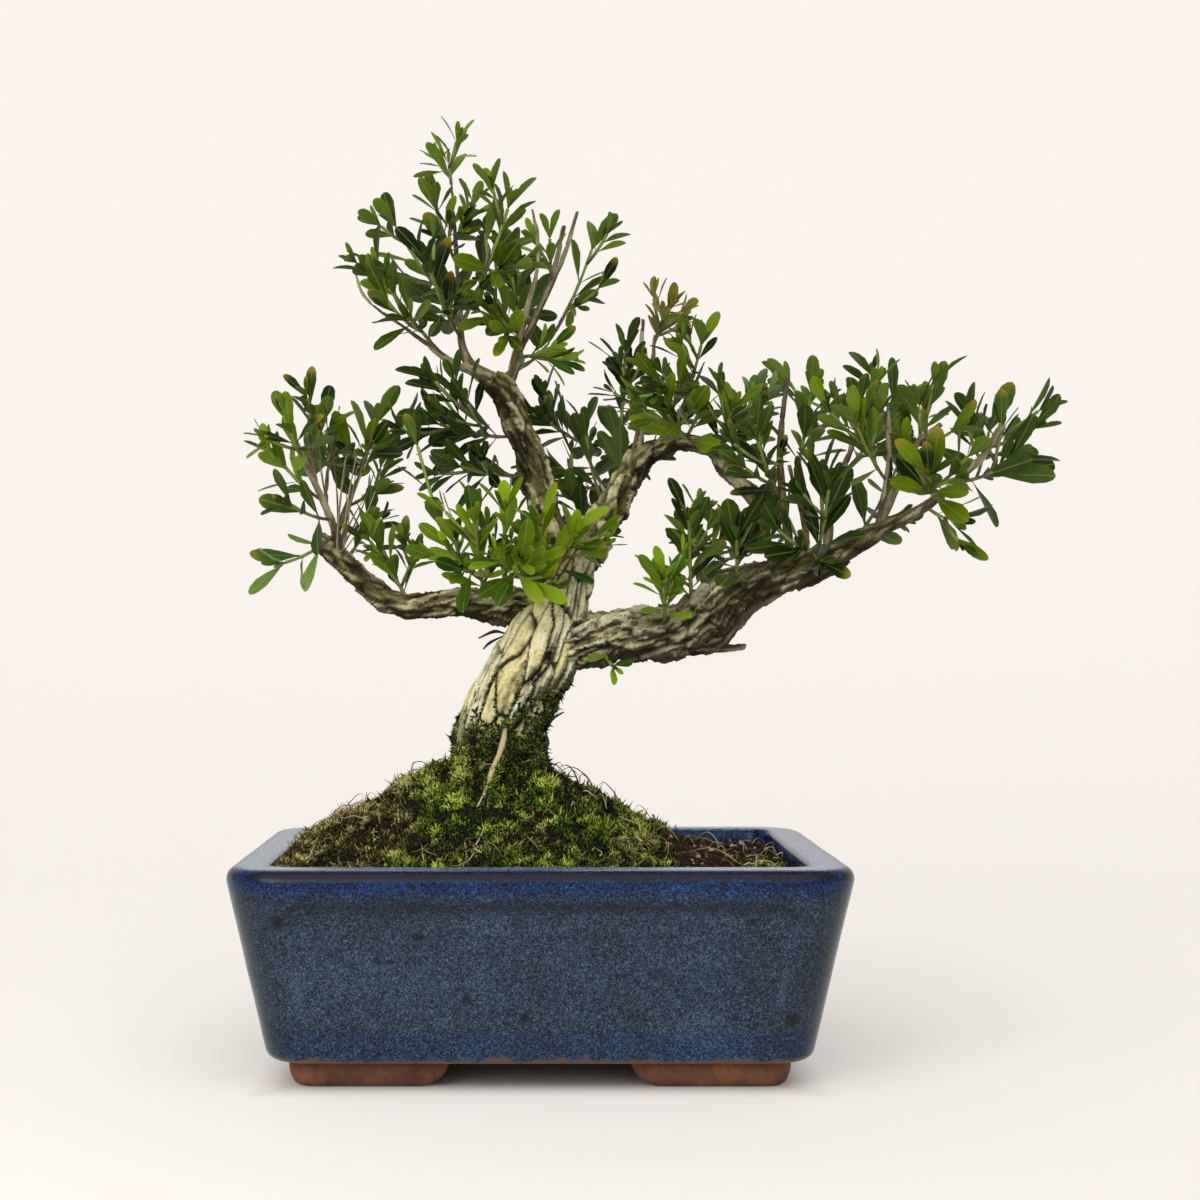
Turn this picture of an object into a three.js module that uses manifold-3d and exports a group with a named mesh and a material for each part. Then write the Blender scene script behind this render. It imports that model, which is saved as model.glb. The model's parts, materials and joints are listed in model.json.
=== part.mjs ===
// A harland boxwood bonsai growing in its glazed stoneware pot.
// Millimetres, +Z up, +X to the right and +Y away from the front, laid out round the middle of the pot.
import * as THREE from 'three';
import { mergeVertices } from 'three/addons/utils/BufferGeometryUtils.js';
import Module from 'manifold-3d';

const wasm = await Module();
wasm.setup();

// Pot: half sizes are [along X, along Y]
const POT_HEIGHT = 92.5;
const FOOT_HEIGHT = 11.5;
const RIM_HALF = [130.8, 99];
const BASE_HALF = [113.8, 82];
const WALL_RISE = POT_HEIGHT - FOOT_HEIGHT;
const WALL_LEAN = RIM_HALF[1] - BASE_HALF[1];
const RIM_WIDTH = 19;
const RIM_CORNER = 26;
const BASE_CORNER = 20;
const RIM_RADIUS = 7;
const EDGE_RADIUS = 3.2;
const INNER_EDGE = 1.2;
const FLOOR_THICKNESS = 8;
const WALL_AT_FLOOR = 8;
const INNER_CORNER = 11;
const INNER_FILLET = 4;
// A corner's arc gets twice this many steps
const CORNER_STEPS = 2;

// Shallow panel pressed into each side of the pot
const PANEL_DEPTH = 1.5;
const PANEL_LOW = 22;
const PANEL_HIGH = 76;
const PANEL_INSET_LOW = 19;
const PANEL_INSET_HIGH = 26;
const PANEL_CORNER = 10;

// Bracket feet: their outline from the ground up, drawn in by inset
const FOOT_INSET = 8.5;
const FOOT_PROFILE = [
  { z: 0, inset: 4 }, { z: 2.5, inset: 1.2 }, { z: 6, inset: 0 }, { z: FOOT_HEIGHT + 1, inset: 0 },
];
const FOOT_WALL = 25;

// Arches between the feet: half widths at the ground and at the pot's floor
const FRONT_ARCH = { low: 48, high: 37 };
const SIDE_ARCH = { low: 31, high: 23 };
const ARCH_BULGE = 3;
const ARCH_LIP = 1;
const ARCH_LIP_HEIGHT = 4;

// Drainage
const DRAIN_RADIUS = 11;
const DRAIN_SIDES = 12;
const DRAIN_X = 52;
const SCREEN_SIZE = 34;
const SCREEN_THICKNESS = 1.2;
const SCREEN_PITCH = 9.5;
const SCREEN_MESH = 6;

// Soil: a mound, and the bank that keeps it below the rim
const GAP = 0.3;
const SOIL_LOW = 85;
const MOUND_RISE = 49.5;
const MOUND_AT = [-22, 8];
const MOUND_SPREAD = [70, 55];
const CLOD_HEIGHTS = [1.1, 0.8];
const BELOW_RIM = 1.5;
const BANK_SLOPE = 0.9;
const SOIL_GRID = [15, 11];

// Wood: how many sides and lengths a limb gets for its girth
const LIMB_SIDES = { least: 5, most: 13, start: 3, perGirth: 0.5 };
const LIMB_STEP = { start: 5, perGirth: 0.5 };
const BARK_BULGE = 1.08;

// The tree leans out past the pot on the right, so the pot's middle stands this far left of the whole
const POT_OFFSET = 48.1;

// Green stems: half thickness at root and tip, and the bare share before the first leaves
const STEM_HALF = [0.8, 0.6];
const NODE_HEIGHT = 1.3;
const LEAST_BARE = 0.3;
const SHOOT_BARE = 0.35;
const SHOOT_AT = 0.4;
const CLEAR_OF_BARK = 3;

// Leaves: shares of a blade's length or width, and draws from low to high at a stem's foot and tip
const BLADE_THICKNESS = 0.7;
const WIDEST = 0.62;
const TIP_WIDTH = 0.42;
const PAST_STEM = 0.14;
const OPEN_ANGLE = [52, 26];
const OPEN_DRAW = [-6, 8];
const LENGTH_SHARE = [1.05, 0.9];
const LENGTH_DRAW = [0.88, 1.12];
const WIDTH_DRAW = [0.92, 1.08];
const BEND_DRAW = [0.02, 0.16];
const TURN_DRAW = [-0.25, 0.25];

// Spaces left between pieces, and how far tidying may move a surface
const CLEARANCE = 0.55;
const SEAT_GAP = 0.4;
const POT_TOLERANCE = 0.06;
const WOOD_TOLERANCE = 0.2;
const SOIL_TOLERANCE = 0.15;
const LEAF_TOLERANCE = 0.03;

const UP = new THREE.Vector3(0, 0, 1);
const DEPTH = new THREE.Vector3(0, 1, 0);
const radians = THREE.MathUtils.degToRad;
const lerp = THREE.MathUtils.lerp;

const finishes = {
  glaze: new THREE.MeshStandardMaterial({ color: 0x3a5480, roughness: 0.3, metalness: 0 }),
  bark: new THREE.MeshStandardMaterial({ color: 0xa89f85, roughness: 0.9, metalness: 0 }),
  soil: new THREE.MeshStandardMaterial({ color: 0x3d3a22, roughness: 1, metalness: 0 }),
  screen: new THREE.MeshStandardMaterial({ color: 0x2c2c2c, roughness: 0.6, metalness: 0 }),
};

// Leaf age, with the blade's width as a share of its length
const FOLIAGE = {
  deep: { color: 0x2c4f1a, width: 0.38 },
  mid: { color: 0x3f6d1f, width: 0.36 },
  fresh: { color: 0x5f9422, width: 0.33 },
  lime: { color: 0x7fa81e, width: 0.36 },
  pale: { color: 0x6a8a45, width: 0.33 },
  olive: { color: 0x857a22, width: 0.38 },
};

// Wood, each limb a run of [x, y, z, radius]; rough is how deep its bark is ridged
const LIMBS = {
  trunk: {
    rough: 0.055,
    points: [
      [-15, 8, 97, 18], [-17, 8, 113, 20], [-18, 8, 126, 21], [-18, 6, 142, 20.5], [-15, 4, 153, 19.5],
      [-9, 2, 164, 19], [-2, 0, 175, 19.5], [3, 0, 186, 18], [8, 2, 198, 14.5], [12, 4, 209, 12],
      [16, 6, 219, 10], [20, 8, 227, 8.5],
    ],
  },
  upper_right: {
    rough: 0.06,
    points: [
      [18, 7, 223, 9], [28, 14, 238, 7.2], [35, 20, 248, 6.2], [41, 26, 260, 5.6], [47, 28, 269, 5],
      [55, 26, 274, 4.6], [63, 22, 277, 4.4], [73, 18, 275, 4.1], [80, 14, 272, 3.9], [86, 10, 264, 3.9],
      [92, 6, 255, 3.4], [97, 2, 246, 2.2],
    ],
  },
  apex: {
    rough: 0.06,
    points: [
      [12, 4, 205, 8], [8, 10, 223, 6.8], [4, 16, 240, 6.4], [-1, 18, 256, 6.2], [-5, 18, 272, 6.2],
      [-11, 16, 286, 6], [-16, 14, 298, 5.7], [-22, 12, 304, 4.8],
    ],
  },
  apex_west: {
    rough: 0.05,
    points: [
      [-20, 12, 303, 4.2], [-31, 10, 308, 2.7], [-39, 8, 311, 2.3], [-55, 2, 322, 1.6],
      [-64, -2, 328, 1.3], [-72, -5, 333, 1.1], [-79, -7, 340, 0.9], [-82, -8, 349, 0.7],
    ],
  },
  apex_leader: {
    rough: 0.05,
    points: [
      [-21, 12, 303, 4.4], [-31, 12, 310, 3.4], [-35, 12, 320, 2.7], [-36, 14, 332, 2.3],
      [-37, 16, 347, 1.8], [-38, 16, 364, 1.6], [-39, 14, 380, 1.2], [-40, 12, 393, 0.9],
    ],
  },
  apex_fork: {
    rough: 0.04,
    points: [[-36, 13, 327, 1.9], [-31, 6, 337, 1.4], [-26, 0, 348, 1.1], [-22, -6, 361, 0.9]],
  },
  apex_east: {
    rough: 0.06,
    points: [
      [-17, 14, 299, 4.2], [-12, 14, 308, 3.4], [-9, 16, 319, 3], [-4, 18, 328, 2.5],
      [1, 20, 339, 2.1], [8, 22, 354, 1.8], [13, 22, 367, 1.6], [18, 22, 383, 1.2],
    ],
  },
  apex_spike: {
    rough: 0.04,
    points: [
      [-12, 14, 310, 2.1], [-8, 8, 325, 1.8], [-5, 2, 337, 1.6], [-1, -2, 351, 1.3],
      [-1, -6, 365, 1.1], [-3, -10, 377, 0.9],
    ],
  },
  apex_stub: { rough: 0.05, points: [[1, 20, 339, 1.8], [7, 28, 357, 1.9], [12, 34, 379, 1.6]] },
  apex_rear: {
    rough: 0.04,
    points: [
      [-12, 14, 308, 2.1], [-4, 24, 314, 1.4], [4, 32, 323, 1.2], [11, 38, 336, 1],
      [18, 40, 351, 0.8],
    ],
  },
  left: {
    rough: 0.08,
    points: [
      [3, 3, 195, 10], [-12, 2, 200, 7.6], [-24, -2, 201, 6.3], [-35, -6, 202, 6], [-45, -8, 201, 6],
      [-56, -8, 200, 5.4], [-65, -8, 202, 4.7], [-74, -8, 208, 4.5], [-82, -6, 215, 4.5],
      [-89, -4, 221, 4.7], [-95, -4, 227, 4.5], [-99, -6, 232, 2.8],
    ],
  },
  left_leader: {
    rough: 0.05,
    points: [
      [-91, -4, 222, 3.9], [-91, -6, 233, 3.1], [-95, -10, 244, 2.4], [-100, -14, 256, 2],
      [-106, -18, 269, 1.8], [-112, -22, 284, 1.5],
    ],
  },
  left_stub: {
    rough: 0.04,
    points: [[-99, -13, 253, 1.8], [-102, -4, 265, 1.6], [-104, 4, 277, 1.4], [-105, 8, 288, 1.1]],
  },
  left_spike: {
    rough: 0.04,
    points: [[-95, -10, 244, 1.6], [-95, -2, 260, 1.3], [-93, 6, 274, 1.1], [-91, 10, 292, 0.9]],
  },
  left_inner: {
    rough: 0.05,
    points: [[-91, -5, 232, 2.2], [-87, 6, 246, 1.8], [-83, 14, 258, 1.4], [-77, 20, 270, 1.2]],
  },
  right: {
    rough: 0.1,
    points: [
      [4, 0, 184, 13], [22, -3, 185, 12], [36, -6, 188, 10.8], [49, -10, 188, 10.5], [62, -12, 190, 10.2],
      [74, -14, 198, 9.7], [86, -16, 207, 8.4], [102, -18, 213, 6.8], [117, -20, 216, 6.2],
      [129, -22, 222, 5.5], [139, -24, 228, 4.8], [150, -25, 234, 3.7], [161, -24, 239, 3.1],
      [174, -22, 247, 2.4], [186, -20, 257, 2], [196, -18, 267, 1.8], [205, -16, 280, 2],
    ],
  },
  right_low: {
    rough: 0.08,
    points: [
      [57, -10, 184, 6], [72, -8, 183, 4.2], [82, -6, 185, 3.4], [88, -6, 192, 2.9], [95, -8, 199, 2.7],
      [105, -12, 206, 2.3], [114, -17, 212, 2.3],
    ],
  },
  right_snag: { rough: 0.08, points: [[66, -7, 183, 4], [81, 0, 182, 2.9], [93, 4, 182, 1.8]] },
  right_spike: {
    rough: 0.05,
    points: [
      [113, -19, 217, 2.9], [108, -28, 231, 2.4], [104, -38, 253, 2.4], [103, -44, 272, 2.1],
      [105, -50, 297, 1.7],
    ],
  },
  right_middle: {
    rough: 0.05,
    points: [
      [126, -21, 222, 2.9], [131, -8, 249, 2.7], [138, 0, 265, 2.3], [145, 6, 282, 1.8],
      [149, 10, 294, 1.4],
    ],
  },
  right_front: {
    rough: 0.04,
    points: [[147, -25, 233, 2], [149, -34, 248, 1.7], [150, -40, 263, 1.7], [148, -46, 283, 1.7]],
  },
  right_leader: {
    rough: 0.05,
    points: [[149, -25, 235, 2.6], [158, -18, 254, 2.4], [167, -10, 271, 2.2], [180, -4, 282, 2]],
  },
  right_rear: {
    rough: 0.06,
    points: [[115, -19, 218, 3.5], [120, -2, 232, 2.5], [119, 14, 249, 2.1], [116, 26, 266, 1.4]],
  },
  right_knob: { rough: 0.08, points: [[71, -14, 198, 3.5], [74, -2, 210, 2.2], [73, 6, 221, 1.4]] },
  upper_stem: {
    rough: 0.05,
    points: [
      [45, 28, 266, 3.6], [47, 26, 283, 2.8], [49, 22, 298, 2.3], [52, 18, 313, 1.8],
      [53, 14, 325, 1.1],
    ],
  },
  upper_stub: { rough: 0.04, points: [[49, 22, 298, 1.8], [48, 32, 316, 1.6], [49, 38, 336, 1.4]] },
  upper_rear: {
    rough: 0.04,
    points: [[34, 19, 247, 1.8], [24, 40, 269, 1.2], [15, 52, 288, 1], [8, 58, 310, 0.8]],
  },
  upper_front: {
    rough: 0.04,
    points: [[61, 24, 275, 2.3], [64, 12, 288, 1.8], [70, 2, 300, 1.4], [74, -6, 310, 0.9]],
  },
  root_front: {
    rough: 0.05,
    points: [[-12, -9, 145, 4], [-17, -19, 132, 2.7], [-22, -26, 122, 2.2], [-26, -33, 111, 1.8]],
  },
  root_left: { rough: 0.06, points: [[-26, -3, 147, 6], [-33, -8, 131, 5], [-35, -13, 115, 4.2]] },
  root_right: { rough: 0.06, points: [[-8, 6, 141, 7], [0, 14, 126, 5.2], [8, 24, 109, 4]] },
  root_rear: { rough: 0.06, points: [[-18, 18, 141, 7.4], [-24, 35, 122, 5.4], [-30, 49, 105, 3.8]] },
};

// Leafy sprays: where each leaves its limb, its leaf length, and its stems, the side shoots after the first.
// Each stem is [x, y, z, pairs]: its tip and how many pairs of leaves it bears.
const SPRAYS = [
  { name: 'apex_top', on: ['apex_leader', 1], age: 'fresh', leaf: 19, stems: [[-41, 12, 402, 3]] },
  { name: 'apex_high', on: ['apex_leader', 0.46], age: 'mid', leaf: 21, stems: [[-64, -4, 370, 3]] },
  {
    name: 'apex_west', on: ['apex_west', 0.3], age: 'mid', leaf: 21,
    stems: [[-71, -16, 349, 4], [-66, -24, 333, 2]],
  },
  { name: 'apex_front', on: ['apex_leader', 0.32], age: 'deep', leaf: 22, stems: [[-49, -26, 350, 4]] },
  {
    name: 'apex_crown', on: ['apex_leader', 0.66], age: 'mid', leaf: 19,
    stems: [[-46, 0, 378, 3], [-32, 6, 375, 2]],
  },
  {
    name: 'apex_fork', on: ['apex_fork', 0.43], age: 'mid', leaf: 21,
    stems: [[-14, -10, 377, 4], [-18, -20, 348, 2]],
  },
  {
    name: 'apex_middle', on: ['apex_east', 0.26], age: 'mid', leaf: 22,
    stems: [[-10, 10, 342, 3], [-19, -4, 332, 2]],
  },
  { name: 'apex_small', on: ['apex_east', 0.67], age: 'fresh', leaf: 16, stems: [[5, 16, 369, 3]] },
  {
    name: 'apex_east', on: ['apex_rear', 0.64], age: 'mid', leaf: 21,
    stems: [[25, 42, 369, 3], [17, 32, 341, 2]],
  },
  { name: 'apex_low', on: ['apex_spike', 0.06], age: 'fresh', leaf: 19, stems: [[4, 0, 316, 3]] },
  { name: 'apex_rear_west', on: ['apex_leader', 0.39], age: 'deep', leaf: 22, stems: [[-50, 46, 361, 4]] },
  { name: 'apex_rear_east', on: ['apex_east', 0.43], age: 'deep', leaf: 22, stems: [[-10, 54, 363, 4]] },
  { name: 'left_top', on: ['left_leader', 0.75], age: 'mid', leaf: 19, stems: [[-108, -30, 275, 3]] },
  { name: 'left_lime', on: ['left_leader', 0.45], age: 'lime', leaf: 18, stems: [[-116, -14, 266, 4]] },
  { name: 'left_side', on: ['left_leader', 0.31], age: 'deep', leaf: 20, stems: [[-108, -26, 244, 3]] },
  { name: 'left_droop', on: ['left_leader', 0.2], age: 'pale', leaf: 22, stems: [[-111, -26, 219, 3]] },
  { name: 'left_middle', on: ['left_stub', 0.4], age: 'mid', leaf: 20, stems: [[-97, -8, 282, 3]] },
  {
    name: 'left_high', on: ['left_inner', 0.68], age: 'mid', leaf: 24,
    stems: [[-76, 22, 283, 3], [-84, 4, 269, 1]],
  },
  { name: 'left_small', on: ['left_inner', 0.33], age: 'mid', leaf: 18, stems: [[-74, 18, 256, 3]] },
  { name: 'left_rear', on: ['left_spike', 0.4], age: 'deep', leaf: 20, stems: [[-98, 32, 273, 4]] },
  {
    name: 'left_shoot', on: ['left', 0.46], age: 'mid', leaf: 21,
    stems: [[-69, -16, 225, 4], [-57, -10, 221, 2]],
  },
  { name: 'left_inside', on: ['left', 0.8], age: 'deep', leaf: 20, stems: [[-78, 6, 237, 4]] },
  {
    name: 'lime_left', on: ['left', 0.18], age: 'lime', leaf: 21,
    stems: [[-28, -36, 235, 4], [-38, -30, 224, 2]],
  },
  {
    name: 'lime_front', on: ['left', 0.12], age: 'lime', leaf: 22,
    stems: [[-15, -44, 240, 4], [-8, -46, 218, 2]],
  },
  {
    name: 'lime_right', on: ['trunk', 0.75], age: 'lime', leaf: 22,
    stems: [[0, -34, 234, 4], [13, -26, 231, 2]],
  },
  { name: 'slim_shoot', on: ['left', 0.24], age: 'mid', leaf: 20, stems: [[-54, -12, 271, 4]] },
  {
    name: 'dark_left', on: ['apex', 0.64], age: 'deep', leaf: 26,
    stems: [[-45, 6, 283, 4], [-32, -4, 291, 2]],
  },
  { name: 'dark_low', on: ['apex', 0.48], age: 'deep', leaf: 24, stems: [[-35, -2, 263, 3]] },
  { name: 'rear_far', on: ['upper_rear', 0.52], age: 'deep', leaf: 22, stems: [[4, 46, 291, 3]] },
  {
    name: 'rear_high', on: ['upper_right', 0.13], age: 'deep', leaf: 23,
    stems: [[22, 66, 286, 4], [0, 62, 269, 1]],
  },
  { name: 'rear_middle', on: ['upper_right', 0.24], age: 'deep', leaf: 22, stems: [[38, 60, 285, 4]] },
  { name: 'rear_low', on: ['trunk', 0.92], age: 'deep', leaf: 21, stems: [[28, 54, 253, 3]] },
  { name: 'upper_left', on: ['upper_stem', 0.29], age: 'deep', leaf: 20, stems: [[38, 14, 310, 3]] },
  { name: 'upper_tip', on: ['upper_stem', 0.91], age: 'olive', leaf: 19, stems: [[56, 12, 331, 2]] },
  {
    name: 'upper_front', on: ['upper_front', 0.33], age: 'mid', leaf: 20,
    stems: [[72, -10, 316, 3], [55, -8, 299, 2]],
  },
  { name: 'upper_rear', on: ['upper_right', 0.47], age: 'deep', leaf: 21, stems: [[65, 46, 301, 4]] },
  { name: 'upper_long', on: ['upper_right', 0.64], age: 'mid', leaf: 26, stems: [[57, -14, 285, 2]] },
  { name: 'upper_arch', on: ['upper_right', 0.74], age: 'mid', leaf: 21, stems: [[86, -4, 287, 3]] },
  { name: 'upper_far', on: ['upper_right', 0.88], age: 'pale', leaf: 18, stems: [[98, 26, 296, 4]] },
  { name: 'right_bright', on: ['right', 0.22], age: 'fresh', leaf: 19, stems: [[54, -38, 211, 5]] },
  { name: 'right_tall', on: ['right', 0.28], age: 'mid', leaf: 21, stems: [[65, -30, 237, 5]] },
  { name: 'right_big', on: ['right', 0.38], age: 'deep', leaf: 26, stems: [[85, -38, 228, 3]] },
  { name: 'right_trefoil', on: ['right', 0.08], age: 'fresh', leaf: 16, stems: [[32, -26, 174, 2]] },
  { name: 'right_forward', on: ['right_spike', 0.39], age: 'deep', leaf: 22, stems: [[92, -54, 269, 3]] },
  { name: 'right_behind', on: ['right_rear', 0.83], age: 'mid', leaf: 22, stems: [[126, 24, 299, 4]] },
  {
    name: 'right_broad', on: ['right', 0.52], age: 'deep', leaf: 26,
    stems: [[123, -48, 249, 3], [111, -52, 223, 1]],
  },
  { name: 'right_young', on: ['right_middle', 0.81], age: 'fresh', leaf: 18, stems: [[153, 4, 301, 3]] },
  { name: 'right_back', on: ['right_middle', 0.41], age: 'deep', leaf: 25, stems: [[163, 20, 293, 4]] },
  { name: 'right_front', on: ['right_front', 0.47], age: 'mid', leaf: 22, stems: [[134, -54, 275, 3]] },
  {
    name: 'right_crown', on: ['right_leader', 0.5], age: 'mid', leaf: 22,
    stems: [[177, 4, 291, 3], [180, -22, 276, 2]],
  },
  { name: 'right_spread', on: ['right', 0.81], age: 'mid', leaf: 25, stems: [[166, -46, 255, 3]] },
  {
    name: 'right_tip', on: ['right', 0.86], age: 'deep', leaf: 27,
    stems: [[207, -12, 263, 3], [203, 2, 279, 1]],
  },
  { name: 'right_low', on: ['right', 0.79], age: 'mid', leaf: 24, stems: [[178, -28, 238, 2]] },
  { name: 'right_rear', on: ['right', 0.6], age: 'deep', leaf: 23, stems: [[171, 34, 274, 3]] },
  {
    name: 'right_inside', on: ['right', 0.44], age: 'deep', leaf: 22,
    stems: [[105, 16, 249, 4], [79, 18, 231, 1]],
  },
];

// Repeatable random numbers
const MULTIPLIER = 1664525;
const INCREMENT = 1013904223;
let seed = 20260;

/** The next random number from 0 to 1. */
function draw() {
  seed = (Math.imul(seed, MULTIPLIER) + INCREMENT) >>> 0;
  return seed / 2 ** 32;
}

/** Draw between two limits. */
const between = (low, high) => low + (high - low) * draw();

/** A closed geometry as a solid that can be joined and cut. */
function solid(geometry) {
  geometry.deleteAttribute('normal');
  geometry.deleteAttribute('uv');
  const merged = mergeVertices(geometry, 1e-4);
  return new wasm.Manifold(
    new wasm.Mesh({
      numProp: 3,
      vertProperties: new Float32Array(merged.attributes.position.array),
      triVerts: Uint32Array.from(merged.index.array),
    }),
  );
}

/** A solid as a named mesh. */
function mesh(name, body, material) {
  const { vertProperties, triVerts } = body.getMesh();
  const geometry = new THREE.BufferGeometry();
  geometry.setAttribute('position', new THREE.BufferAttribute(vertProperties, 3));
  geometry.setIndex(new THREE.BufferAttribute(triVerts, 1));
  geometry.computeVertexNormals();
  const piece = new THREE.Mesh(geometry, material);
  piece.name = name;
  return piece;
}

/** Moves every vertex of a geometry to where place(x, y, z) puts it. */
function reshape(geometry, place) {
  const position = geometry.attributes.position;
  for (let i = 0; i < position.count; i += 1) {
    const to = place(position.getX(i), position.getY(i), position.getZ(i));
    position.setXYZ(i, to.x, to.y, to.z);
  }
  return geometry;
}

/** Solid through rounded rectangles { z, x, y, r }: height, half sizes and corner radius. */
function tray(sections) {
  const outline = new THREE.Shape();
  outline.absarc(1, 1, 1, 0, Math.PI / 2);
  outline.absarc(-1, 1, 1, Math.PI / 2, Math.PI);
  outline.absarc(-1, -1, 1, Math.PI, Math.PI * 1.5);
  outline.absarc(1, -1, 1, Math.PI * 1.5, Math.PI * 2);
  const layers = sections.length - 1;
  const prism = new THREE.ExtrudeGeometry(outline, {
    depth: layers,
    steps: layers,
    bevelEnabled: false,
    curveSegments: CORNER_STEPS,
  });
  const place = (x, y, z) => {
    const at = sections[Math.round(z)];
    const [cornerX, cornerY] = [Math.sign(x), Math.sign(y)];
    return new THREE.Vector3(
      cornerX * (at.x - at.r) + (x - cornerX) * at.r,
      cornerY * (at.y - at.r) + (y - cornerY) * at.r,
      at.z,
    );
  };
  return solid(reshape(prism, place));
}

/** The pot's outer section at a height, drawn in by inset. */
function outerSection(z, inset = 0) {
  const rise = (z - FOOT_HEIGHT) / WALL_RISE;
  return {
    z,
    x: lerp(BASE_HALF[0], RIM_HALF[0], rise) - inset,
    y: lerp(BASE_HALF[1], RIM_HALF[1], rise) - inset,
    r: lerp(BASE_CORNER, RIM_CORNER, rise) - inset,
  };
}

/** The pot's inner section at a height, drawn in by inset. */
function innerSection(z, inset = 0) {
  const floor = FOOT_HEIGHT + FLOOR_THICKNESS;
  const low = outerSection(floor, WALL_AT_FLOOR);
  const rise = Math.min((z - floor) / (POT_HEIGHT - floor), 1);
  return {
    z,
    x: lerp(low.x, RIM_HALF[0] - RIM_WIDTH, rise) - inset,
    y: lerp(low.y, RIM_HALF[1] - RIM_WIDTH, rise) - inset,
    r: INNER_CORNER - inset,
  };
}

/** Pot body with its rounded edges. */
function potShell() {
  const low = [0, 90].map((angle) => {
    const turn = radians(angle);
    const z = FOOT_HEIGHT + EDGE_RADIUS * (1 - Math.cos(turn));
    return outerSection(z, EDGE_RADIUS * (1 - Math.sin(turn)));
  });
  const high = [0, 50, 90].map((angle) => {
    const turn = radians(angle);
    const z = POT_HEIGHT - RIM_RADIUS * (1 - Math.sin(turn));
    return outerSection(z, RIM_RADIUS * (1 - Math.cos(turn)));
  });
  const shell = tray([...low, ...high]);
  const floor = FOOT_HEIGHT + FLOOR_THICKNESS;
  const lip = innerSection(POT_HEIGHT, -INNER_EDGE);
  const hollow = tray([
    innerSection(floor, INNER_FILLET),
    innerSection(floor + INNER_FILLET),
    innerSection(POT_HEIGHT - INNER_EDGE),
    lip,
    { ...lip, z: POT_HEIGHT + 1 },
  ]);
  return shell.subtract(hollow);
}

/** Slab that presses a panel into the side facing -Y, which stands out as far as faceHalf at the base. */
function panelCutter(halfLow, halfHigh, faceHalf) {
  const lean = Math.atan(WALL_LEAN / WALL_RISE);
  const low = PANEL_LOW / Math.cos(lean);
  const high = PANEL_HIGH / Math.cos(lean);
  const r = PANEL_CORNER;
  const outline = new THREE.Shape();
  outline.absarc(halfHigh - r, high - r, r, 0, Math.PI / 2);
  outline.absarc(r - halfHigh, high - r, r, Math.PI / 2, Math.PI);
  outline.absarc(r - halfLow, low + r, r, Math.PI, Math.PI * 1.5);
  outline.absarc(halfLow - r, low + r, r, Math.PI * 1.5, Math.PI * 2);
  const slab = new THREE.ExtrudeGeometry(outline, {
    depth: 4 * PANEL_DEPTH,
    bevelEnabled: false,
    curveSegments: CORNER_STEPS,
  });
  const faceAtGround = faceHalf - (WALL_LEAN * FOOT_HEIGHT) / WALL_RISE;
  slab.translate(0, 0, -PANEL_DEPTH);
  slab.rotateX(Math.PI / 2 + lean);
  slab.translate(0, -faceAtGround, 0);
  return slab;
}

/** All four panel cutters as one solid. */
function panelCutters() {
  const [baseX, baseY] = BASE_HALF;
  const sides = [
    { turn: 0, half: baseX, face: baseY },
    { turn: Math.PI, half: baseX, face: baseY },
    { turn: Math.PI / 2, half: baseY, face: baseX },
    { turn: -Math.PI / 2, half: baseY, face: baseX },
  ];
  return wasm.Manifold.union(
    sides.map(({ turn, half, face }) => {
      const slab = panelCutter(half - PANEL_INSET_LOW, half + WALL_LEAN - PANEL_INSET_HIGH, face);
      return solid(slab.rotateZ(turn));
    }),
  );
}

/** Arch between two feet, run along Y: an ogee that closes in towards the pot. */
function footArch({ low, high }, reach) {
  const bulge = high + ARCH_BULGE;
  const lip = high + ARCH_LIP;
  const lipHeight = FOOT_HEIGHT - ARCH_LIP_HEIGHT;
  const outline = new THREE.Shape();
  outline.moveTo(-low - 1, -1);
  outline.lineTo(low + 1, -1);
  outline.lineTo(low, 0);
  outline.quadraticCurveTo(bulge, ARCH_BULGE, lip, lipHeight);
  outline.lineTo(high, FOOT_HEIGHT);
  outline.lineTo(-high, FOOT_HEIGHT);
  outline.lineTo(-lip, lipHeight);
  outline.quadraticCurveTo(-bulge, ARCH_BULGE, -low, 0);
  const depth = 2 * reach;
  const arch = new THREE.ExtrudeGeometry(outline, { depth, bevelEnabled: false, curveSegments: 3 });
  return arch.rotateX(Math.PI / 2).translate(0, reach, 0);
}

/** The four bracket feet. */
function potFeet() {
  const base = outerSection(FOOT_HEIGHT, FOOT_INSET);
  const ring = tray(
    FOOT_PROFILE.map(({ z, inset }) => ({ ...base, z, x: base.x - inset, y: base.y - inset })),
  );
  const core = block([2 * (base.x - FOOT_WALL), 2 * (base.y - FOOT_WALL), 2 * FOOT_HEIGHT], [0, 0, 0]);
  const reach = RIM_HALF[0];
  return ring
    .subtract(core)
    .subtract(solid(footArch(FRONT_ARCH, reach)))
    .subtract(solid(footArch(SIDE_ARCH, reach).rotateZ(Math.PI / 2)));
}

/** Pot with its feet, panels and drain holes. */
function pot() {
  const drains = [-DRAIN_X, DRAIN_X].map((x) => {
    const bore = new THREE.CylinderGeometry(DRAIN_RADIUS, DRAIN_RADIUS, 2 * FLOOR_THICKNESS, DRAIN_SIDES);
    return solid(bore.rotateX(Math.PI / 2).translate(x, 0, FOOT_HEIGHT + FLOOR_THICKNESS / 2));
  });
  const body = potShell().subtract(panelCutters()).add(potFeet());
  return drains.reduce((drained, drain) => drained.subtract(drain), body);
}

/** Upright block of the given sizes with its middle at x, y, z. */
function block([width, depth, height], [x, y, z]) {
  return solid(new THREE.BoxGeometry(width, depth, height).translate(x, y, z));
}

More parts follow.
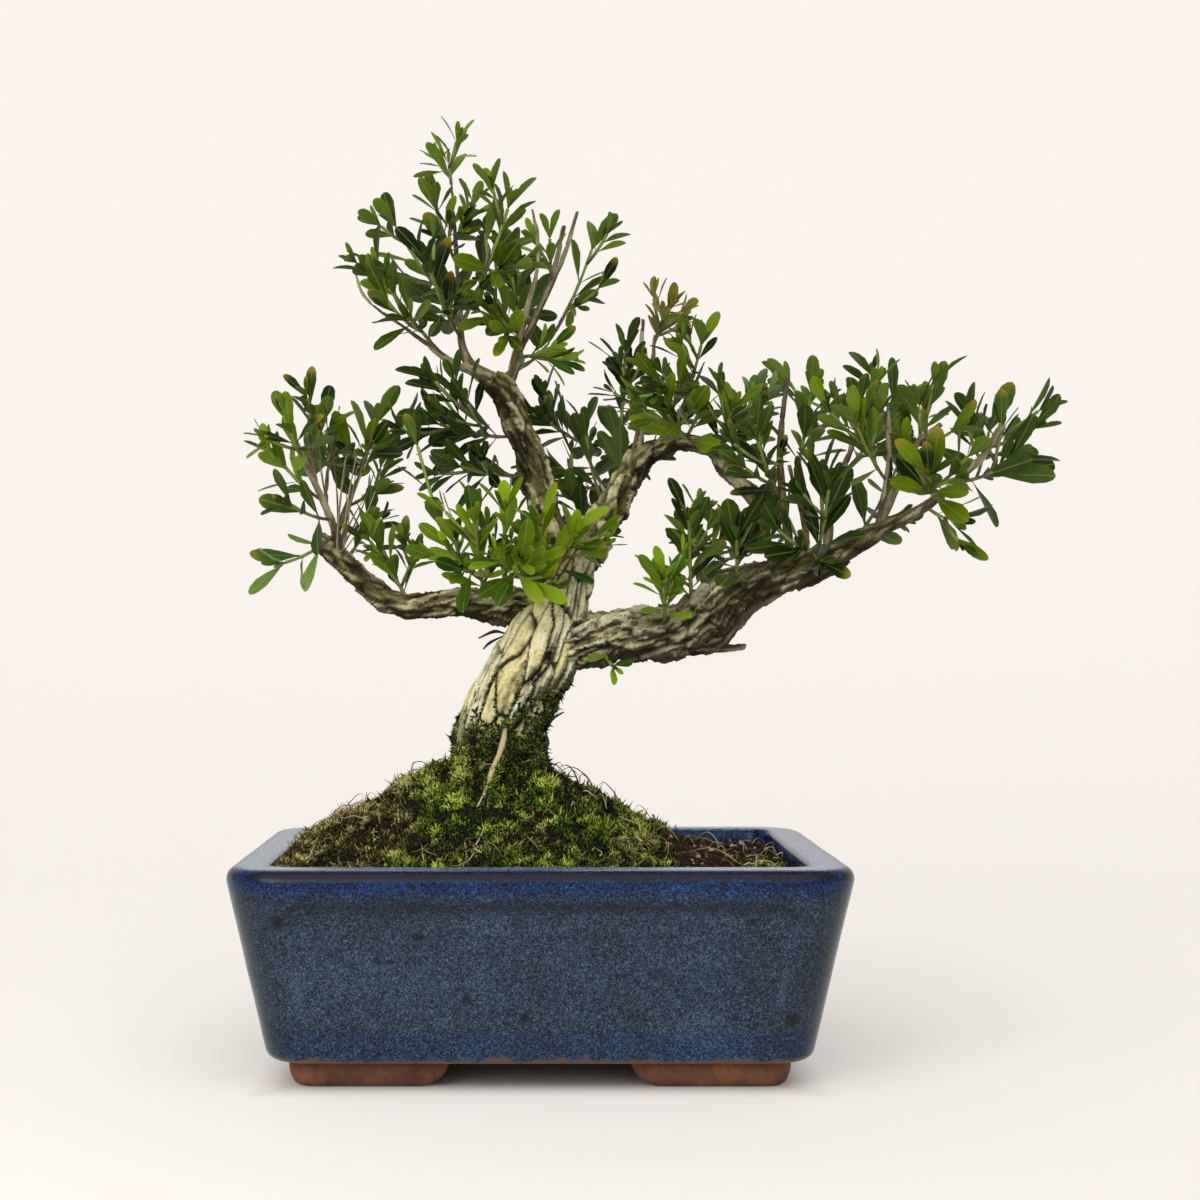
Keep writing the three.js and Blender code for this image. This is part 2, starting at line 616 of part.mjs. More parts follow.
/** Plastic screen over a drain hole. */
function drainScreen(x) {
  const z = FOOT_HEIGHT + FLOOR_THICKNESS + GAP + SCREEN_THICKNESS / 2;
  let screen = block([SCREEN_SIZE, SCREEN_SIZE, SCREEN_THICKNESS], [x, 0, z]);
  for (const column of [-1, 0, 1]) {
    for (const row of [-1, 0, 1]) {
      const at = [x + column * SCREEN_PITCH, row * SCREEN_PITCH, z];
      screen = screen.subtract(block([SCREEN_MESH, SCREEN_MESH, 2 * SCREEN_THICKNESS], at));
    }
  }
  return screen;
}

/** Height of the soil: a mound round the trunk that falls to the pot's walls. */
function soilHeight(x, y) {
  const across = (x - MOUND_AT[0]) / MOUND_SPREAD[0];
  const away = (y - MOUND_AT[1]) / MOUND_SPREAD[1];
  const mound = MOUND_RISE * Math.exp(-across * across - away * away);
  const [broad, slanted] = CLOD_HEIGHTS;
  const ripples = broad * Math.sin(0.21 * x + 1) * Math.sin(0.27 * y);
  const clods = ripples + slanted * Math.sin(0.13 * x - 0.17 * y);
  const inner = innerSection(POT_HEIGHT);
  const fromWall = Math.max(Math.min(inner.x - Math.abs(x), inner.y - Math.abs(y)), 0);
  return Math.min(SOIL_LOW + mound + clods, POT_HEIGHT - BELOW_RIM + BANK_SLOPE * fromWall);
}

/** Soil that fills the pot, with plain holes where the trunk and roots stand and room for the screens. */
function soil(woodRoom) {
  const floor = FOOT_HEIGHT + FLOOR_THICKNESS + GAP;
  const grid = new THREE.BoxGeometry(2 * RIM_HALF[0], 2 * RIM_HALF[1], 1, ...SOIL_GRID, 1);
  reshape(grid, (x, y, z) => new THREE.Vector3(x, y, z > 0 ? soilHeight(x, y) : floor));
  const room = tray([
    innerSection(floor, INNER_FILLET + GAP),
    innerSection(floor + INNER_FILLET, GAP),
    innerSection(POT_HEIGHT, GAP),
    { ...innerSection(POT_HEIGHT, GAP), z: POT_HEIGHT * 2 },
  ]);
  const pockets = [-DRAIN_X, DRAIN_X].map((x) => {
    const side = SCREEN_SIZE + 2 * GAP;
    return block([side, side, 2 * (SCREEN_THICKNESS + GAP)], [x, 0, floor]);
  });
  const filling = solid(grid).intersect(room).subtract(woodRoom);
  return pockets.reduce((body, pocket) => body.subtract(pocket), filling);
}

/** Smooth centreline through a limb's points. */
function centreline(points) {
  return new THREE.CatmullRomCurve3(
    points.map(([x, y, z]) => new THREE.Vector3(x, y, z)),
    false,
    'catmullrom',
    0.5,
  );
}

/** Limb radius at a fraction of its points. */
function limbRadius(points, t) {
  const at = t * (points.length - 1);
  const i = Math.min(Math.floor(at), points.length - 2);
  return lerp(points[i][3], points[i + 1][3], at - i);
}

/** Two unit vectors square to a direction and to each other. */
function crossAxes(direction) {
  const reference = Math.abs(direction.dot(DEPTH)) > 0.9 ? UP : DEPTH;
  const first = new THREE.Vector3().crossVectors(direction, reference).normalize();
  return [first, new THREE.Vector3().crossVectors(first, direction)];
}

/** Tube along a curve with round(t, angle) as its radius. */
function tube(curve, round, sides, steps) {
  const bar = new THREE.CylinderGeometry(1, 1, 1, sides, steps);
  const place = (x, y, z) => {
    const t = y + 0.5;
    const [first, second] = crossAxes(curve.getTangent(t));
    const radius = round(t, Math.atan2(x, z)) * Math.hypot(x, z);
    const turn = Math.atan2(x, z);
    return curve
      .getPoint(t)
      .addScaledVector(first, radius * Math.sin(turn))
      .addScaledVector(second, radius * Math.cos(turn));
  };
  return solid(reshape(bar, place));
}

/** One limb, its bark raised in slanting ridges; room widens it to leave space round the wood. */
function limb({ points, rough }, room = 0) {
  const curve = centreline(points);
  const length = curve.getLength();
  const girth = Math.max(...points.map((point) => point[3]));
  const { least, most, start, perGirth } = LIMB_SIDES;
  const sides = Math.min(most, Math.max(least, Math.round(start + perGirth * girth)));
  const step = LIMB_STEP.start + LIMB_STEP.perGirth * girth;
  const steps = Math.max(points.length - 1, Math.round(length / step));
  const round = (t, angle) => {
    const along = t * length;
    const ridges = Math.sin(5 * angle + 0.09 * along) + 0.6 * Math.sin(2 * angle - 0.16 * along + 1.7);
    return limbRadius(points, t) * (1 + rough * ridges) + room;
  };
  return tube(curve, round, sides, steps);
}

/** A body without the slivers that joining leaves, its surface moved by no more than the tolerance. */
function tidied(body, tolerance) {
  return body.asOriginal().simplify(tolerance);
}

/** All limbs joined into one body. */
function wood(room = 0) {
  const limbs = Object.values(LIMBS).map((run) => limb(run, room));
  return tidied(wasm.Manifold.union(limbs), WOOD_TOLERANCE);
}

/** Box with three unit axes and half sizes, and the radius of the ball round it. */
function box(centre, axes, half) {
  return { centre, axes, half, reach: Math.hypot(...half) };
}

/** Whether two boxes come closer than the clearance. */
function meets(a, b) {
  const offset = new THREE.Vector3().subVectors(b.centre, a.centre);
  if (offset.length() > a.reach + b.reach + CLEARANCE) return false;
  const span = ({ axes, half }, axis) =>
    half.reduce((sum, size, i) => sum + size * Math.abs(axes[i].dot(axis)), 0);
  const apart = (axis) => Math.abs(offset.dot(axis)) > span(a, axis) + span(b, axis) + CLEARANCE;
  if (a.axes.some(apart) || b.axes.some(apart)) return false;
  for (const first of a.axes) {
    for (const second of b.axes) {
      const axis = new THREE.Vector3().crossVectors(first, second);
      if (axis.length() > 1e-6 && apart(axis.normalize())) return false;
    }
  }
  return true;
}

/** Box round the straight stretch between two points, as wide as radius each way. */
function stretchBox(start, end, radius) {
  const along = new THREE.Vector3().subVectors(end, start);
  const length = along.length();
  along.normalize();
  const middle = new THREE.Vector3().addVectors(start, end).multiplyScalar(0.5);
  return box(middle, [along, ...crossAxes(along)], [length / 2, radius, radius]);
}

/** Boxes round a tube, one for each stretch between the given fractions. */
function tubeBoxes(curve, radiusAt, fractions) {
  return fractions.slice(1).map((t1, i) => {
    const t0 = fractions[i];
    return stretchBox(curve.getPoint(t0), curve.getPoint(t1), Math.max(radiusAt(t0), radiusAt(t1)));
  });
}

/** Curved stem from one point to another, sagging by lift and swung aside by side, as shares of its span. */
function stemCurve(start, end, bow) {
  const span = start.distanceTo(end);
  const sideways = crossAxes(new THREE.Vector3().subVectors(end, start).normalize())[0];
  const middle = new THREE.Vector3().addVectors(start, end).multiplyScalar(0.5);
  middle.addScaledVector(UP, -bow.lift * span).addScaledVector(sideways, bow.side * span);
  return new THREE.QuadraticBezierCurve3(start, middle, end);
}

/** Half the thickness of a green stem at a fraction of its length. */
const stemHalf = (t) => lerp(...STEM_HALF, t);

/** A point of a leaf: along its midrib, across it and above it, with the tip bent back. */
function leafPoint(leaf, share, across, above) {
  return leaf.root
    .clone()
    .addScaledVector(leaf.along, share * leaf.length)
    .addScaledVector(leaf.across, across)
    .addScaledVector(leaf.face, above - leaf.bend * leaf.length * share * share);
}

/** The boxes of one leaf, before and past its widest place. */
function leafBoxes(leaf) {
  const thin = BLADE_THICKNESS / 2;
  const parts = [[PAST_STEM, WIDEST, 1.5 * thin], [WIDEST, 1, thin]];
  return parts.map(([from, to, half]) => {
    const start = leafPoint(leaf, from, 0, 0);
    const end = leafPoint(leaf, to, 0, 0);
    const along = new THREE.Vector3().subVectors(end, start);
    const length = along.length();
    along.normalize();
    const flat = new THREE.Vector3().crossVectors(along, leaf.across).normalize();
    const middle = start.add(end).multiplyScalar(0.5);
    return box(middle, [along, leaf.across, flat], [length / 2, leaf.width / 2, half]);
  });
}

// What a leaf tries in turn until it is clear: degrees opened and turned round the stem, and its size
const ATTITUDES = [
  [0, 0, 1], [-10, 0, 1], [12, 0, 1], [0, 25, 1], [0, -25, 1], [-10, 45, 1], [-10, -45, 1], [20, 15, 1],
  [0, 0, 0.8], [-10, 30, 0.8], [-10, -30, 0.8], [14, 50, 0.8], [-10, 0, 0.66], [0, 45, 0.66], [0, -45, 0.66],
];

/** Leaf on a stem, set out from its point, the stem's direction and the leaf's own draws. */
function setLeaf(at, direction, draws, [opened, turned, size]) {
  const [first, second] = crossAxes(direction);
  const turn = draws.turn + radians(turned);
  const outward = first.clone().multiplyScalar(Math.cos(turn)).addScaledVector(second, Math.sin(turn));
  const open = draws.open + radians(opened);
  const along = direction.clone().multiplyScalar(Math.cos(open)).addScaledVector(outward, Math.sin(open));
  const face = direction.clone().multiplyScalar(Math.sin(open)).addScaledVector(outward, -Math.cos(open));
  const length = draws.length * size;
  const across = new THREE.Vector3().crossVectors(face, along);
  return { root: at, along, face, across, length, width: draws.width * length, bend: draws.bend };
}

// Bows that a stem tries in turn until it is clear of the others
const BOWS = [
  { lift: 0.12, side: 0 }, { lift: 0.12, side: 0.12 }, { lift: 0.12, side: -0.12 }, { lift: -0.06, side: 0 },
  { lift: 0.25, side: 0 }, { lift: 0.1, side: 0.25 }, { lift: 0.1, side: -0.25 }, { lift: 0, side: 0.4 },
];

/** Fractions of a stem where its outline is set: its root, half way to the leaves and each leaf pair. */
function stemStations(pairs, bare) {
  const nodes = Array.from({ length: pairs }, (_, i) => (pairs > 1 ? lerp(bare, 1, i / (pairs - 1)) : 1));
  return [0, bare / 2, ...nodes];
}

/** Stems of every spray, each bent clear of the others, with the boxes that they fill. */
function layOutStems(taken) {
  return SPRAYS.map((spray) => {
    const [limbName, t] = spray.on;
    const { points } = LIMBS[limbName];
    const root = centreline(points).getPoint(t);
    const bark = limbRadius(points, t);
    const shoots = [];
    for (const [x, y, z, pairs] of spray.stems) {
      const start = shoots.length ? shoots[0].curve.getPoint(SHOOT_AT) : root;
      const end = new THREE.Vector3(x, y, z);
      const inBark = (bark + CLEAR_OF_BARK) / start.distanceTo(end);
      const bare = shoots.length ? SHOOT_BARE : Math.max(LEAST_BARE, inBark);
      const stations = stemStations(pairs, bare);
      const isClear = (bow) => {
        const boxes = tubeBoxes(stemCurve(start, end, bow), stemHalf, stations.slice(1));
        return boxes.every((one) => taken.every((other) => other.owner === spray.name || !meets(one, other)));
      };
      const curve = stemCurve(start, end, BOWS.find(isClear) ?? BOWS[0]);
      shoots.push({ curve, stations, nodes: [] });
      tubeBoxes(curve, stemHalf, stations).forEach((one) => taken.push({ ...one, owner: spray.name }));
    }
    return { ...spray, shoots };
  });
}

/** Opposite leaves at one place of a stem, each in the first attitude that is clear, or left out. */
function layOutPair(spray, curve, t, share, turn, taken) {
  const isOwnStem = (other) => other.owner === spray.name && !other.leaf;
  const leaves = [0, Math.PI].map((side) => {
    const draws = {
      turn: turn + side,
      open: radians(lerp(...OPEN_ANGLE, share) + between(...OPEN_DRAW)),
      length: spray.leaf * lerp(...LENGTH_SHARE, share) * between(...LENGTH_DRAW),
      width: FOLIAGE[spray.age].width * between(...WIDTH_DRAW),
      bend: between(...BEND_DRAW),
    };
    const at = curve.getPoint(t);
    const direction = curve.getTangent(t);
    const isClear = (leaf) =>
      leafBoxes(leaf).every((one) => taken.every((other) => isOwnStem(other) || !meets(one, other)));
    const leaf = ATTITUDES.map((attitude) => setLeaf(at, direction, draws, attitude)).find(isClear);
    if (leaf) leafBoxes(leaf).forEach((one) => taken.push({ ...one, owner: spray.name, leaf: true }));
    return leaf;
  });
  return { t, turn, leaves };
}

/** Every spray with its stems and leaves, clear of the wood and of the other sprays. */
function layOutSprays() {
  const taken = [];
  const sprays = layOutStems(taken);
  for (const { points } of Object.values(LIMBS)) {
    const count = 2 * (points.length - 1);
    const fractions = Array.from({ length: count + 1 }, (_, i) => i / count);
    taken.push(...tubeBoxes(centreline(points), (t) => BARK_BULGE * limbRadius(points, t), fractions));
  }
  for (const spray of sprays) {
    for (const shoot of spray.shoots) {
      let turn = between(0, Math.PI);
      shoot.nodes = shoot.stations.slice(2).map((t, i, all) => {
        turn += Math.PI / 2 + between(...TURN_DRAW);
        return layOutPair(spray, shoot.curve, t, all.length > 1 ? i / (all.length - 1) : 1, turn, taken);
      });
    }
  }
  return sprays;
}

/** Closed skin that grows as loops of four points are joined to it. */
class Skin {
  positions = [];
  triangles = [];

  /** Adds four points and returns their numbers. */
  loop(points) {
    const first = this.positions.length / 3;
    points.forEach((point) => this.positions.push(point.x, point.y, point.z));
    return points.map((_, i) => first + i);
  }

  /** Joins two loops side by side, except the sides named in open; both broad faces are split alike. */
  join(from, to, open = []) {
    for (let i = 0; i < 4; i += 1) {
      const next = (i + 1) % 4;
      if (open.includes(i)) continue;
      if (i < 2) this.triangles.push(from[i], to[i], to[next], from[i], to[next], from[next]);
      else this.triangles.push(from[i], to[i], from[next], to[i], to[next], from[next]);
    }
  }

  /** Closes a loop whose points run clockwise as seen from outside, or the other way round. */
  close([a, b, c, d], isStart = false) {
    if (isStart) this.triangles.push(a, b, c, a, c, d);
    else this.triangles.push(a, c, b, a, d, c);
  }

  /** The finished skin as a solid. */
  toSolid() {
    const geometry = new THREE.BufferGeometry();
    geometry.setAttribute('position', new THREE.Float32BufferAttribute(this.positions, 3));
    geometry.setIndex(this.triangles);
    return solid(geometry);
  }
}

/** The four corners of a square stem, the first of them an eighth of a turn past the angle. */
function stemCorners(centre, direction, angle, half) {
  const [first, second] = crossAxes(direction);
  return [0, 1, 2, 3].map((corner) => {
    const turn = angle + Math.PI / 4 + (corner * Math.PI) / 2;
    return centre
      .clone()
      .addScaledVector(first, Math.SQRT2 * half * Math.cos(turn))
      .addScaledVector(second, Math.SQRT2 * half * Math.sin(turn));
  });
}

/** The four corners of a leaf's section at a share of its length. */
function leafCorners(leaf, share, width) {
  const half = BLADE_THICKNESS / 2;
  return [[1, -1], [-1, -1], [-1, 1], [1, 1]].map(([side, above]) =>
    leafPoint(leaf, share, (side * width) / 2, above * half),
  );
}

/** A square green stem whose leaves are drawn out of its own sides, in pairs a quarter turn apart. */
function leafyStem({ curve, nodes, stations }) {
  const skin = new Skin();
  const base = nodes[0].turn;
  const ring = (t, angle, shift) => {
    const direction = curve.getTangent(t);
    const centre = curve.getPoint(t).addScaledVector(direction, shift);
    return skin.loop(stemCorners(centre, direction, angle, stemHalf(t)));
  };
  let last = ring(0, base, 0);
  skin.close(last, true);
  const half = ring(stations[1], base, 0);
  skin.join(last, half);
  last = half;
  nodes.forEach(({ t, turn, leaves }, i) => {
    const angle = turn - (i * Math.PI) / 2;
    const low = ring(t, angle, -NODE_HEIGHT / 2);
    const high = ring(t, angle, NODE_HEIGHT / 2);
    const sides = leaves.map((leaf, k) => (leaf ? (i + 3 + 2 * k) % 4 : undefined));
    skin.join(last, low);
    skin.join(low, high, sides);
    leaves.forEach((leaf, k) => {
      if (!leaf) return;
      const [from, to] = [sides[k], (sides[k] + 1) % 4];
      const wide = skin.loop(leafCorners(leaf, WIDEST, leaf.width));
      const tip = skin.loop(leafCorners(leaf, 1, TIP_WIDTH * leaf.width));
      skin.join([low[from], low[to], high[to], high[from]], wide);
      skin.join(wide, tip);
      skin.close(tip);
    });
    last = high;
  });
  skin.close(last);
  return skin.toSolid();
}

/** The largest of the separate bodies that a cut leaves. */
function largest(body) {
  return body.decompose().sort((a, b) => b.volume() - a.volume())[0];
}

/** One spray as a single body, cut back to its seat on the bark. */
function sprayBody(spray, woodRoom) {
  const whole = wasm.Manifold.union(spray.shoots.map(leafyStem)).subtract(woodRoom);
  return largest(tidied(largest(whole), LEAF_TOLERANCE));
}

const plant = new THREE.Group();
plant.position.x = -POT_OFFSET;
const woodRoom = wood(SEAT_GAP);
plant.add(mesh('pot', tidied(pot(), POT_TOLERANCE), finishes.glaze));
plant.add(mesh('drain_screen_left', drainScreen(-DRAIN_X), finishes.screen));
plant.add(mesh('drain_screen_right', drainScreen(DRAIN_X), finishes.screen));
plant.add(mesh('soil', tidied(soil(woodRoom), SOIL_TOLERANCE), finishes.soil));
plant.add(mesh('trunk', wood(), finishes.bark));
for (const spray of layOutSprays()) {
  const { color } = FOLIAGE[spray.age];
  const material = new THREE.MeshStandardMaterial({ color, roughness: 0.45, metalness: 0 });
  plant.add(mesh(`spray_${spray.name}`, sprayBody(spray, woodRoom), material));
}

export default plant;
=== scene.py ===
"""A harland boxwood bonsai in its glazed pot, dressed for its portrait.

Sizes are millimetres unless a name says otherwise, laid out round the middle of the pot: X to the right, Y
away from the front, Z up from the table. Bench carries every finished mesh into the row's frame, in metres.
"""
import json
import logging
import math
from dataclasses import dataclass, field
from enum import Enum
from typing import Callable, ClassVar, Iterator, Sequence

import bmesh
import bpy
import numpy as np
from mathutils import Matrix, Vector

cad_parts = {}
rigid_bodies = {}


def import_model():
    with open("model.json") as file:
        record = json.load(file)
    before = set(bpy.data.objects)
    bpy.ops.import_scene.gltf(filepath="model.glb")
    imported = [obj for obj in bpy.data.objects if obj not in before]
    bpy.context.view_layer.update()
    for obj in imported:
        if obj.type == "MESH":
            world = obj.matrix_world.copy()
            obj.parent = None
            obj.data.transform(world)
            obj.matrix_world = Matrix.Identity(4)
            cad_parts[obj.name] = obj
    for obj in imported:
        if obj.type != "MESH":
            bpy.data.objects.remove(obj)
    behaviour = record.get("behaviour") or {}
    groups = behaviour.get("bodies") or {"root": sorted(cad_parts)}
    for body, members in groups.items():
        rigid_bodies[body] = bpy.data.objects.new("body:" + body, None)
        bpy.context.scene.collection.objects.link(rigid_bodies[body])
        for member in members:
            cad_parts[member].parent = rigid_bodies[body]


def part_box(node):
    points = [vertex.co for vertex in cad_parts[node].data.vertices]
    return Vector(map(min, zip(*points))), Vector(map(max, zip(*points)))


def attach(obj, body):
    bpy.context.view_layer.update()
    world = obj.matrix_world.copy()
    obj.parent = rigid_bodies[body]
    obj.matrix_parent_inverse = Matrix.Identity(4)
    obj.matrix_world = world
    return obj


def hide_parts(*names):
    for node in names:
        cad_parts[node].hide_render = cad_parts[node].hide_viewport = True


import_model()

ROOT = "root"
UP = np.array((0.0, 0.0, 1.0))
DEPTH = np.array((0.0, 1.0, 0.0))
Pair = tuple[float, float]
Point = tuple[float, float, float]
Knot = tuple[float, float, float, float]
Stops = tuple[tuple[float, str], ...]
Array = np.ndarray
Piece = bpy.types.Object
Finish = bpy.types.Material
Socket = bpy.types.NodeSocket
# What makes a Mix node mix colours, and gives its colour
BLEND = {"take": 2, "data_type": "RGBA"}
log = logging.getLogger("bonsai")


def linear(shade: str) -> tuple[float, ...]:
    """Turns an sRGB hex colour such as #3f5674 into linear RGBA.

    Args:
        shade: The colour.

    Returns:
        Its four numbers.
    """
    parts = [int(shade[i:i + 2], 16) / 255 for i in (1, 3, 5)]
    red, green, blue = (c / 12.92 if c <= 0.04045 else ((c + 0.055) / 1.055) ** 2.4 for c in parts)
    return red, green, blue, 1.0


def smooth_step(low: float, high: float, value: Array) -> Array:
    """Rises smoothly from 0 at low to 1 at high."""
    share = np.clip((value - low) / (high - low), 0.0, 1.0)
    return share * share * (3 - 2 * share)


def bell(value: Array, width: float) -> Array:
    """Falls smoothly from 1 where the value is 0, by this width, towards 0."""
    return np.exp(-((value / width) ** 2))


def per_mm(size: float) -> float:
    """The texture scale that makes a pattern of this size in mm, on coordinates in metres."""
    return 1000 / size


def lerp(low: float, high: float, share: float) -> float:
    """The value at a share of the way from low to high."""
    return low + (high - low) * share


def unit(vector: Array) -> Array:
    """The vector at length 1."""
    return vector / np.linalg.norm(vector)


def within(point: Array, low: Array, high: Array) -> bool:
    """Whether a point lies between two corners."""
    return bool(((point > low) & (point < high)).all())


def read(elements: bpy.types.bpy_prop_collection, name: str, width: int = 3) -> Array:
    """Reads one property of many mesh elements, a row for each.

    Args:
        elements: The mesh's elements.
        name: The property.
        width: How many numbers it holds.

    Returns:
        The numbers.
    """
    flat = np.empty(len(elements) * width, np.float32)
    elements.foreach_get(name, flat)
    return flat.reshape(-1, width).astype(float)


class Canvas:
    """A new material with one Principled surface, and the one way to add nodes to it."""

    def __init__(self, name: str) -> None:
        """Starts the material under a maker's name for it.

        Args:
            name: The material's name.
        """
        self.material = bpy.data.materials.new(name)
        self.material.use_nodes = True
        self.tree = self.material.node_tree
        self.surface = self.tree.nodes["Principled BSDF"]
        self.place = self.add("TexCoord", take="Object")

    def add(
        self,
        kind: str,
        feeds: dict[str | int, object] | None = None,
        take: str | int = 0,
        stops: Stops = (),
        **settings: object,
    ) -> Socket:
        """Adds one node.

        Args:
            kind: The node type, without its ShaderNode.
            feeds: What each input gets: a value, a hex colour or another node's output.
            take: The output that is wanted.
            stops: The positions and hex colours of a colour ramp.
            **settings: The node's own properties.

        Returns:
            The wanted output.
        """
        node = self.tree.nodes.new("ShaderNode" + kind)
        for name, value in settings.items():
            setattr(node, name, value)
        for i, (position, shade) in enumerate(stops):
            ramp = node.color_ramp.elements
            stop = ramp[i] if i < 2 else ramp.new(position)
            stop.position = position
            stop.color = linear(shade)
        self.feed(node, feeds or {})
        return node.outputs[take]

    def feed(self, node: bpy.types.Node, feeds: dict[str | int, object]) -> None:
        """Gives a node's inputs their values, hex colours or other nodes' outputs.

        Args:
            node: The node.
            feeds: What each input gets.
        """
        for key, value in feeds.items():
            if isinstance(value, Socket):
                self.tree.links.new(value, node.inputs[key])
            else:
                node.inputs[key].default_value = linear(value) if isinstance(value, str) else value

    def finish(self, feeds: dict[str | int, object]) -> Finish:
        """Sets the surface's inputs and gives the material back.

        Args:
            feeds: What each input gets.

        Returns:
            The material.
        """
        self.feed(self.surface, feeds)
        return self.material


class Bench:
    """Where pieces are made: it works in the pot's frame, in mm, and carries each mesh into the row's."""

    def __init__(self) -> None:
        """Finds the pot's middle from its box in the frame."""
        low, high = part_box("pot")
        self.middle = np.array(((low.x + high.x) / 2, (low.y + high.y) / 2, 0.0))

    def metres(self, points: Array) -> Array:
        """Points in mm round the pot, as metres in the row's frame."""
        return np.asarray(points, float) / 1000 + self.middle

    def millimetres(self, points: Array) -> Array:
        """Points in the row's frame, as mm round the pot."""
        return (np.asarray(points, float) - self.middle) * 1000

    def mesh(self, name: str, points: Array, faces: Sequence[Sequence[int]]) -> Piece:
        """Makes an object from points in mm and faces.

        Args:
            name: The object's name.
            points: One row for each vertex, in the pot's frame.
            faces: Vertex numbers of each face, counter-clockwise from outside.

        Returns:
            The new object, linked to the scene and active.
        """
        data = bpy.data.meshes.new(name)
        data.from_pydata(self.metres(points).tolist(), [], [list(face) for face in faces])
        data.update()
        piece = bpy.data.objects.new(name, data)
        bpy.context.scene.collection.objects.link(piece)
        self.take_up(piece)
        return piece

    def loft(self, name: str, rings: Sequence[Array]) -> Piece:
        """Extrudes a loop of edges from ring to ring, and closes both ends.

        Args:
            name: The object's name.
            rings: The loop's points in mm at each step, as many in each and in the same order.

        Returns:
            The closed skin, its faces outward.
        """
        self.take_up()
        bpy.ops.mesh.primitive_circle_add(vertices=len(rings[0]), radius=1)
        piece = bpy.context.object
        piece.name = piece.data.name = name
        self.set_points(piece, rings[0])
        bpy.ops.object.mode_set(mode="EDIT")
        bpy.ops.mesh.select_all(action="SELECT")
        bpy.ops.mesh.edge_face_add()
        bpy.ops.mesh.select_mode(type="EDGE")
        loop = self.metres(rings[0])
        for ring in rings[1:]:
            bpy.ops.mesh.extrude_edges_move()
            grown = bmesh.from_edit_mesh(piece.data)
            chosen = [vertex for vertex in grown.verts if vertex.select]
            stored = loop.astype(np.float32).astype(float)
            keys = {tuple(np.round(point, 6)): i for i, point in enumerate(stored)}
            loop = self.metres(ring)
            for vertex in chosen:
                vertex.co = loop[keys[tuple(np.round(np.array(vertex.co, float), 6))]]
            bmesh.update_edit_mesh(piece.data)
        bpy.ops.mesh.edge_face_add()
        self.face_out()
        return piece

    def face_out(self) -> None:
        """Turns all faces of the piece in hand outward, and ends its editing."""
        bpy.ops.mesh.select_all(action="SELECT")
        bpy.ops.mesh.normals_make_consistent(inside=False)
        bpy.ops.object.mode_set(mode="OBJECT")

    def take_up(self, *pieces: Piece) -> None:
        """Deselects everything and selects these pieces, the last of them active."""
        bpy.ops.object.select_all(action="DESELECT")
        for piece in pieces:
            piece.select_set(True)
            bpy.context.view_layer.objects.active = piece

    def points(self, piece: Piece) -> Array:
        """A piece's vertices in mm."""
        return self.millimetres(read(piece.data.vertices, "co"))

    def set_points(self, piece: Piece, points: Array) -> None:
        """Moves a piece's vertices to these points in mm."""
        piece.data.vertices.foreach_set("co", self.metres(points).astype(np.float32).ravel())
        piece.data.update()

    def normals(self, piece: Piece) -> Array:
        """A piece's vertex normals."""
        return read(piece.data.vertex_normals, "vector")

    def note(self, piece: Piece, **notes: Array) -> None:
        """Keeps numbers for each vertex on the mesh, each under its name, for a material to read.

        Args:
            piece: The piece.
            **notes: A number for each vertex, under each name.
        """
        for name, values in notes.items():
            layer = piece.data.attributes.new(name, "FLOAT", "POINT")
            layer.data.foreach_set("value", np.asarray(values, np.float32))

    def apply(self, piece: Piece, kind: str, **settings: object) -> None:
        """Adds a modifier to a piece and applies it.

        Args:
            piece: The piece.
            kind: The modifier's type.
            **settings: The modifier's own properties.
        """
        self.take_up(piece)
        modifier = piece.modifiers.new(kind.title(), kind)
        for name, value in settings.items():
            setattr(modifier, name, value)
        bpy.ops.object.modifier_apply(modifier=modifier.name)

    def cut(self, piece: Piece, cutter: Piece) -> None:
        """Cuts a closed shape out of a piece, and throws the shape away."""
        self.apply(piece, "BOOLEAN", object=cutter, operation="DIFFERENCE", solver="EXACT")
        bpy.data.objects.remove(cutter)

    def join(self, pieces: Sequence[Piece], name: str) -> Piece:
        """Joins pieces into one object of that name.

        Args:
            pieces: What is joined.
            name: The new name.

        Returns:
            The whole.
        """
        self.take_up(*pieces)
        if len(pieces) > 1:
            bpy.ops.object.join()
        whole = bpy.context.view_layer.objects.active
        whole.name = whole.data.name = name
        return whole

    def hand_over(
        self,
        piece: Piece,
        slot: str,
        finishes: Sequence[Finish],
        replaces: Sequence[str] = (),
        angle: float | None = None,
    ) -> None:
        """Finishes a piece: its shading, materials, body and the nodes that it stands for.

        Args:
            piece: The piece, its place in its mesh.
            slot: The record's material slot; not used.
            finishes: Its materials, in slot order.
            replaces: The CAD nodes that it stands for.
            angle: The sharpest angle in degrees that is shaded smooth; all are when it is left out.
        """
        self.take_up(piece)
        if angle is None:
            bpy.ops.object.shade_smooth()
        else:
            bpy.ops.object.shade_smooth_by_angle(angle=math.radians(angle))
        for finish in finishes:
            piece.data.materials.append(finish)
        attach(piece, ROOT)
        if replaces:
            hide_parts(*replaces)
        triangles = sum(len(face.vertices) - 2 for face in piece.data.polygons)
        log.info("%s: %d triangles", piece.name, triangles)


class LeafTone(Enum):
    """A spray's leaf tone: mostly its age; deep also stands for painted shade at the back of the crown."""

    DEEP = "deep"
    MID = "mid"
    FRESH = "fresh"
    LIME = "lime"
    PALE = "pale"
    OLIVE = "olive"


LEAF_WIDTH = {LeafTone.DEEP: 0.38, LeafTone.MID: 0.36, LeafTone.FRESH: 0.33, LeafTone.LIME: 0.36, LeafTone.PALE: 0.33, LeafTone.OLIVE: 0.38}


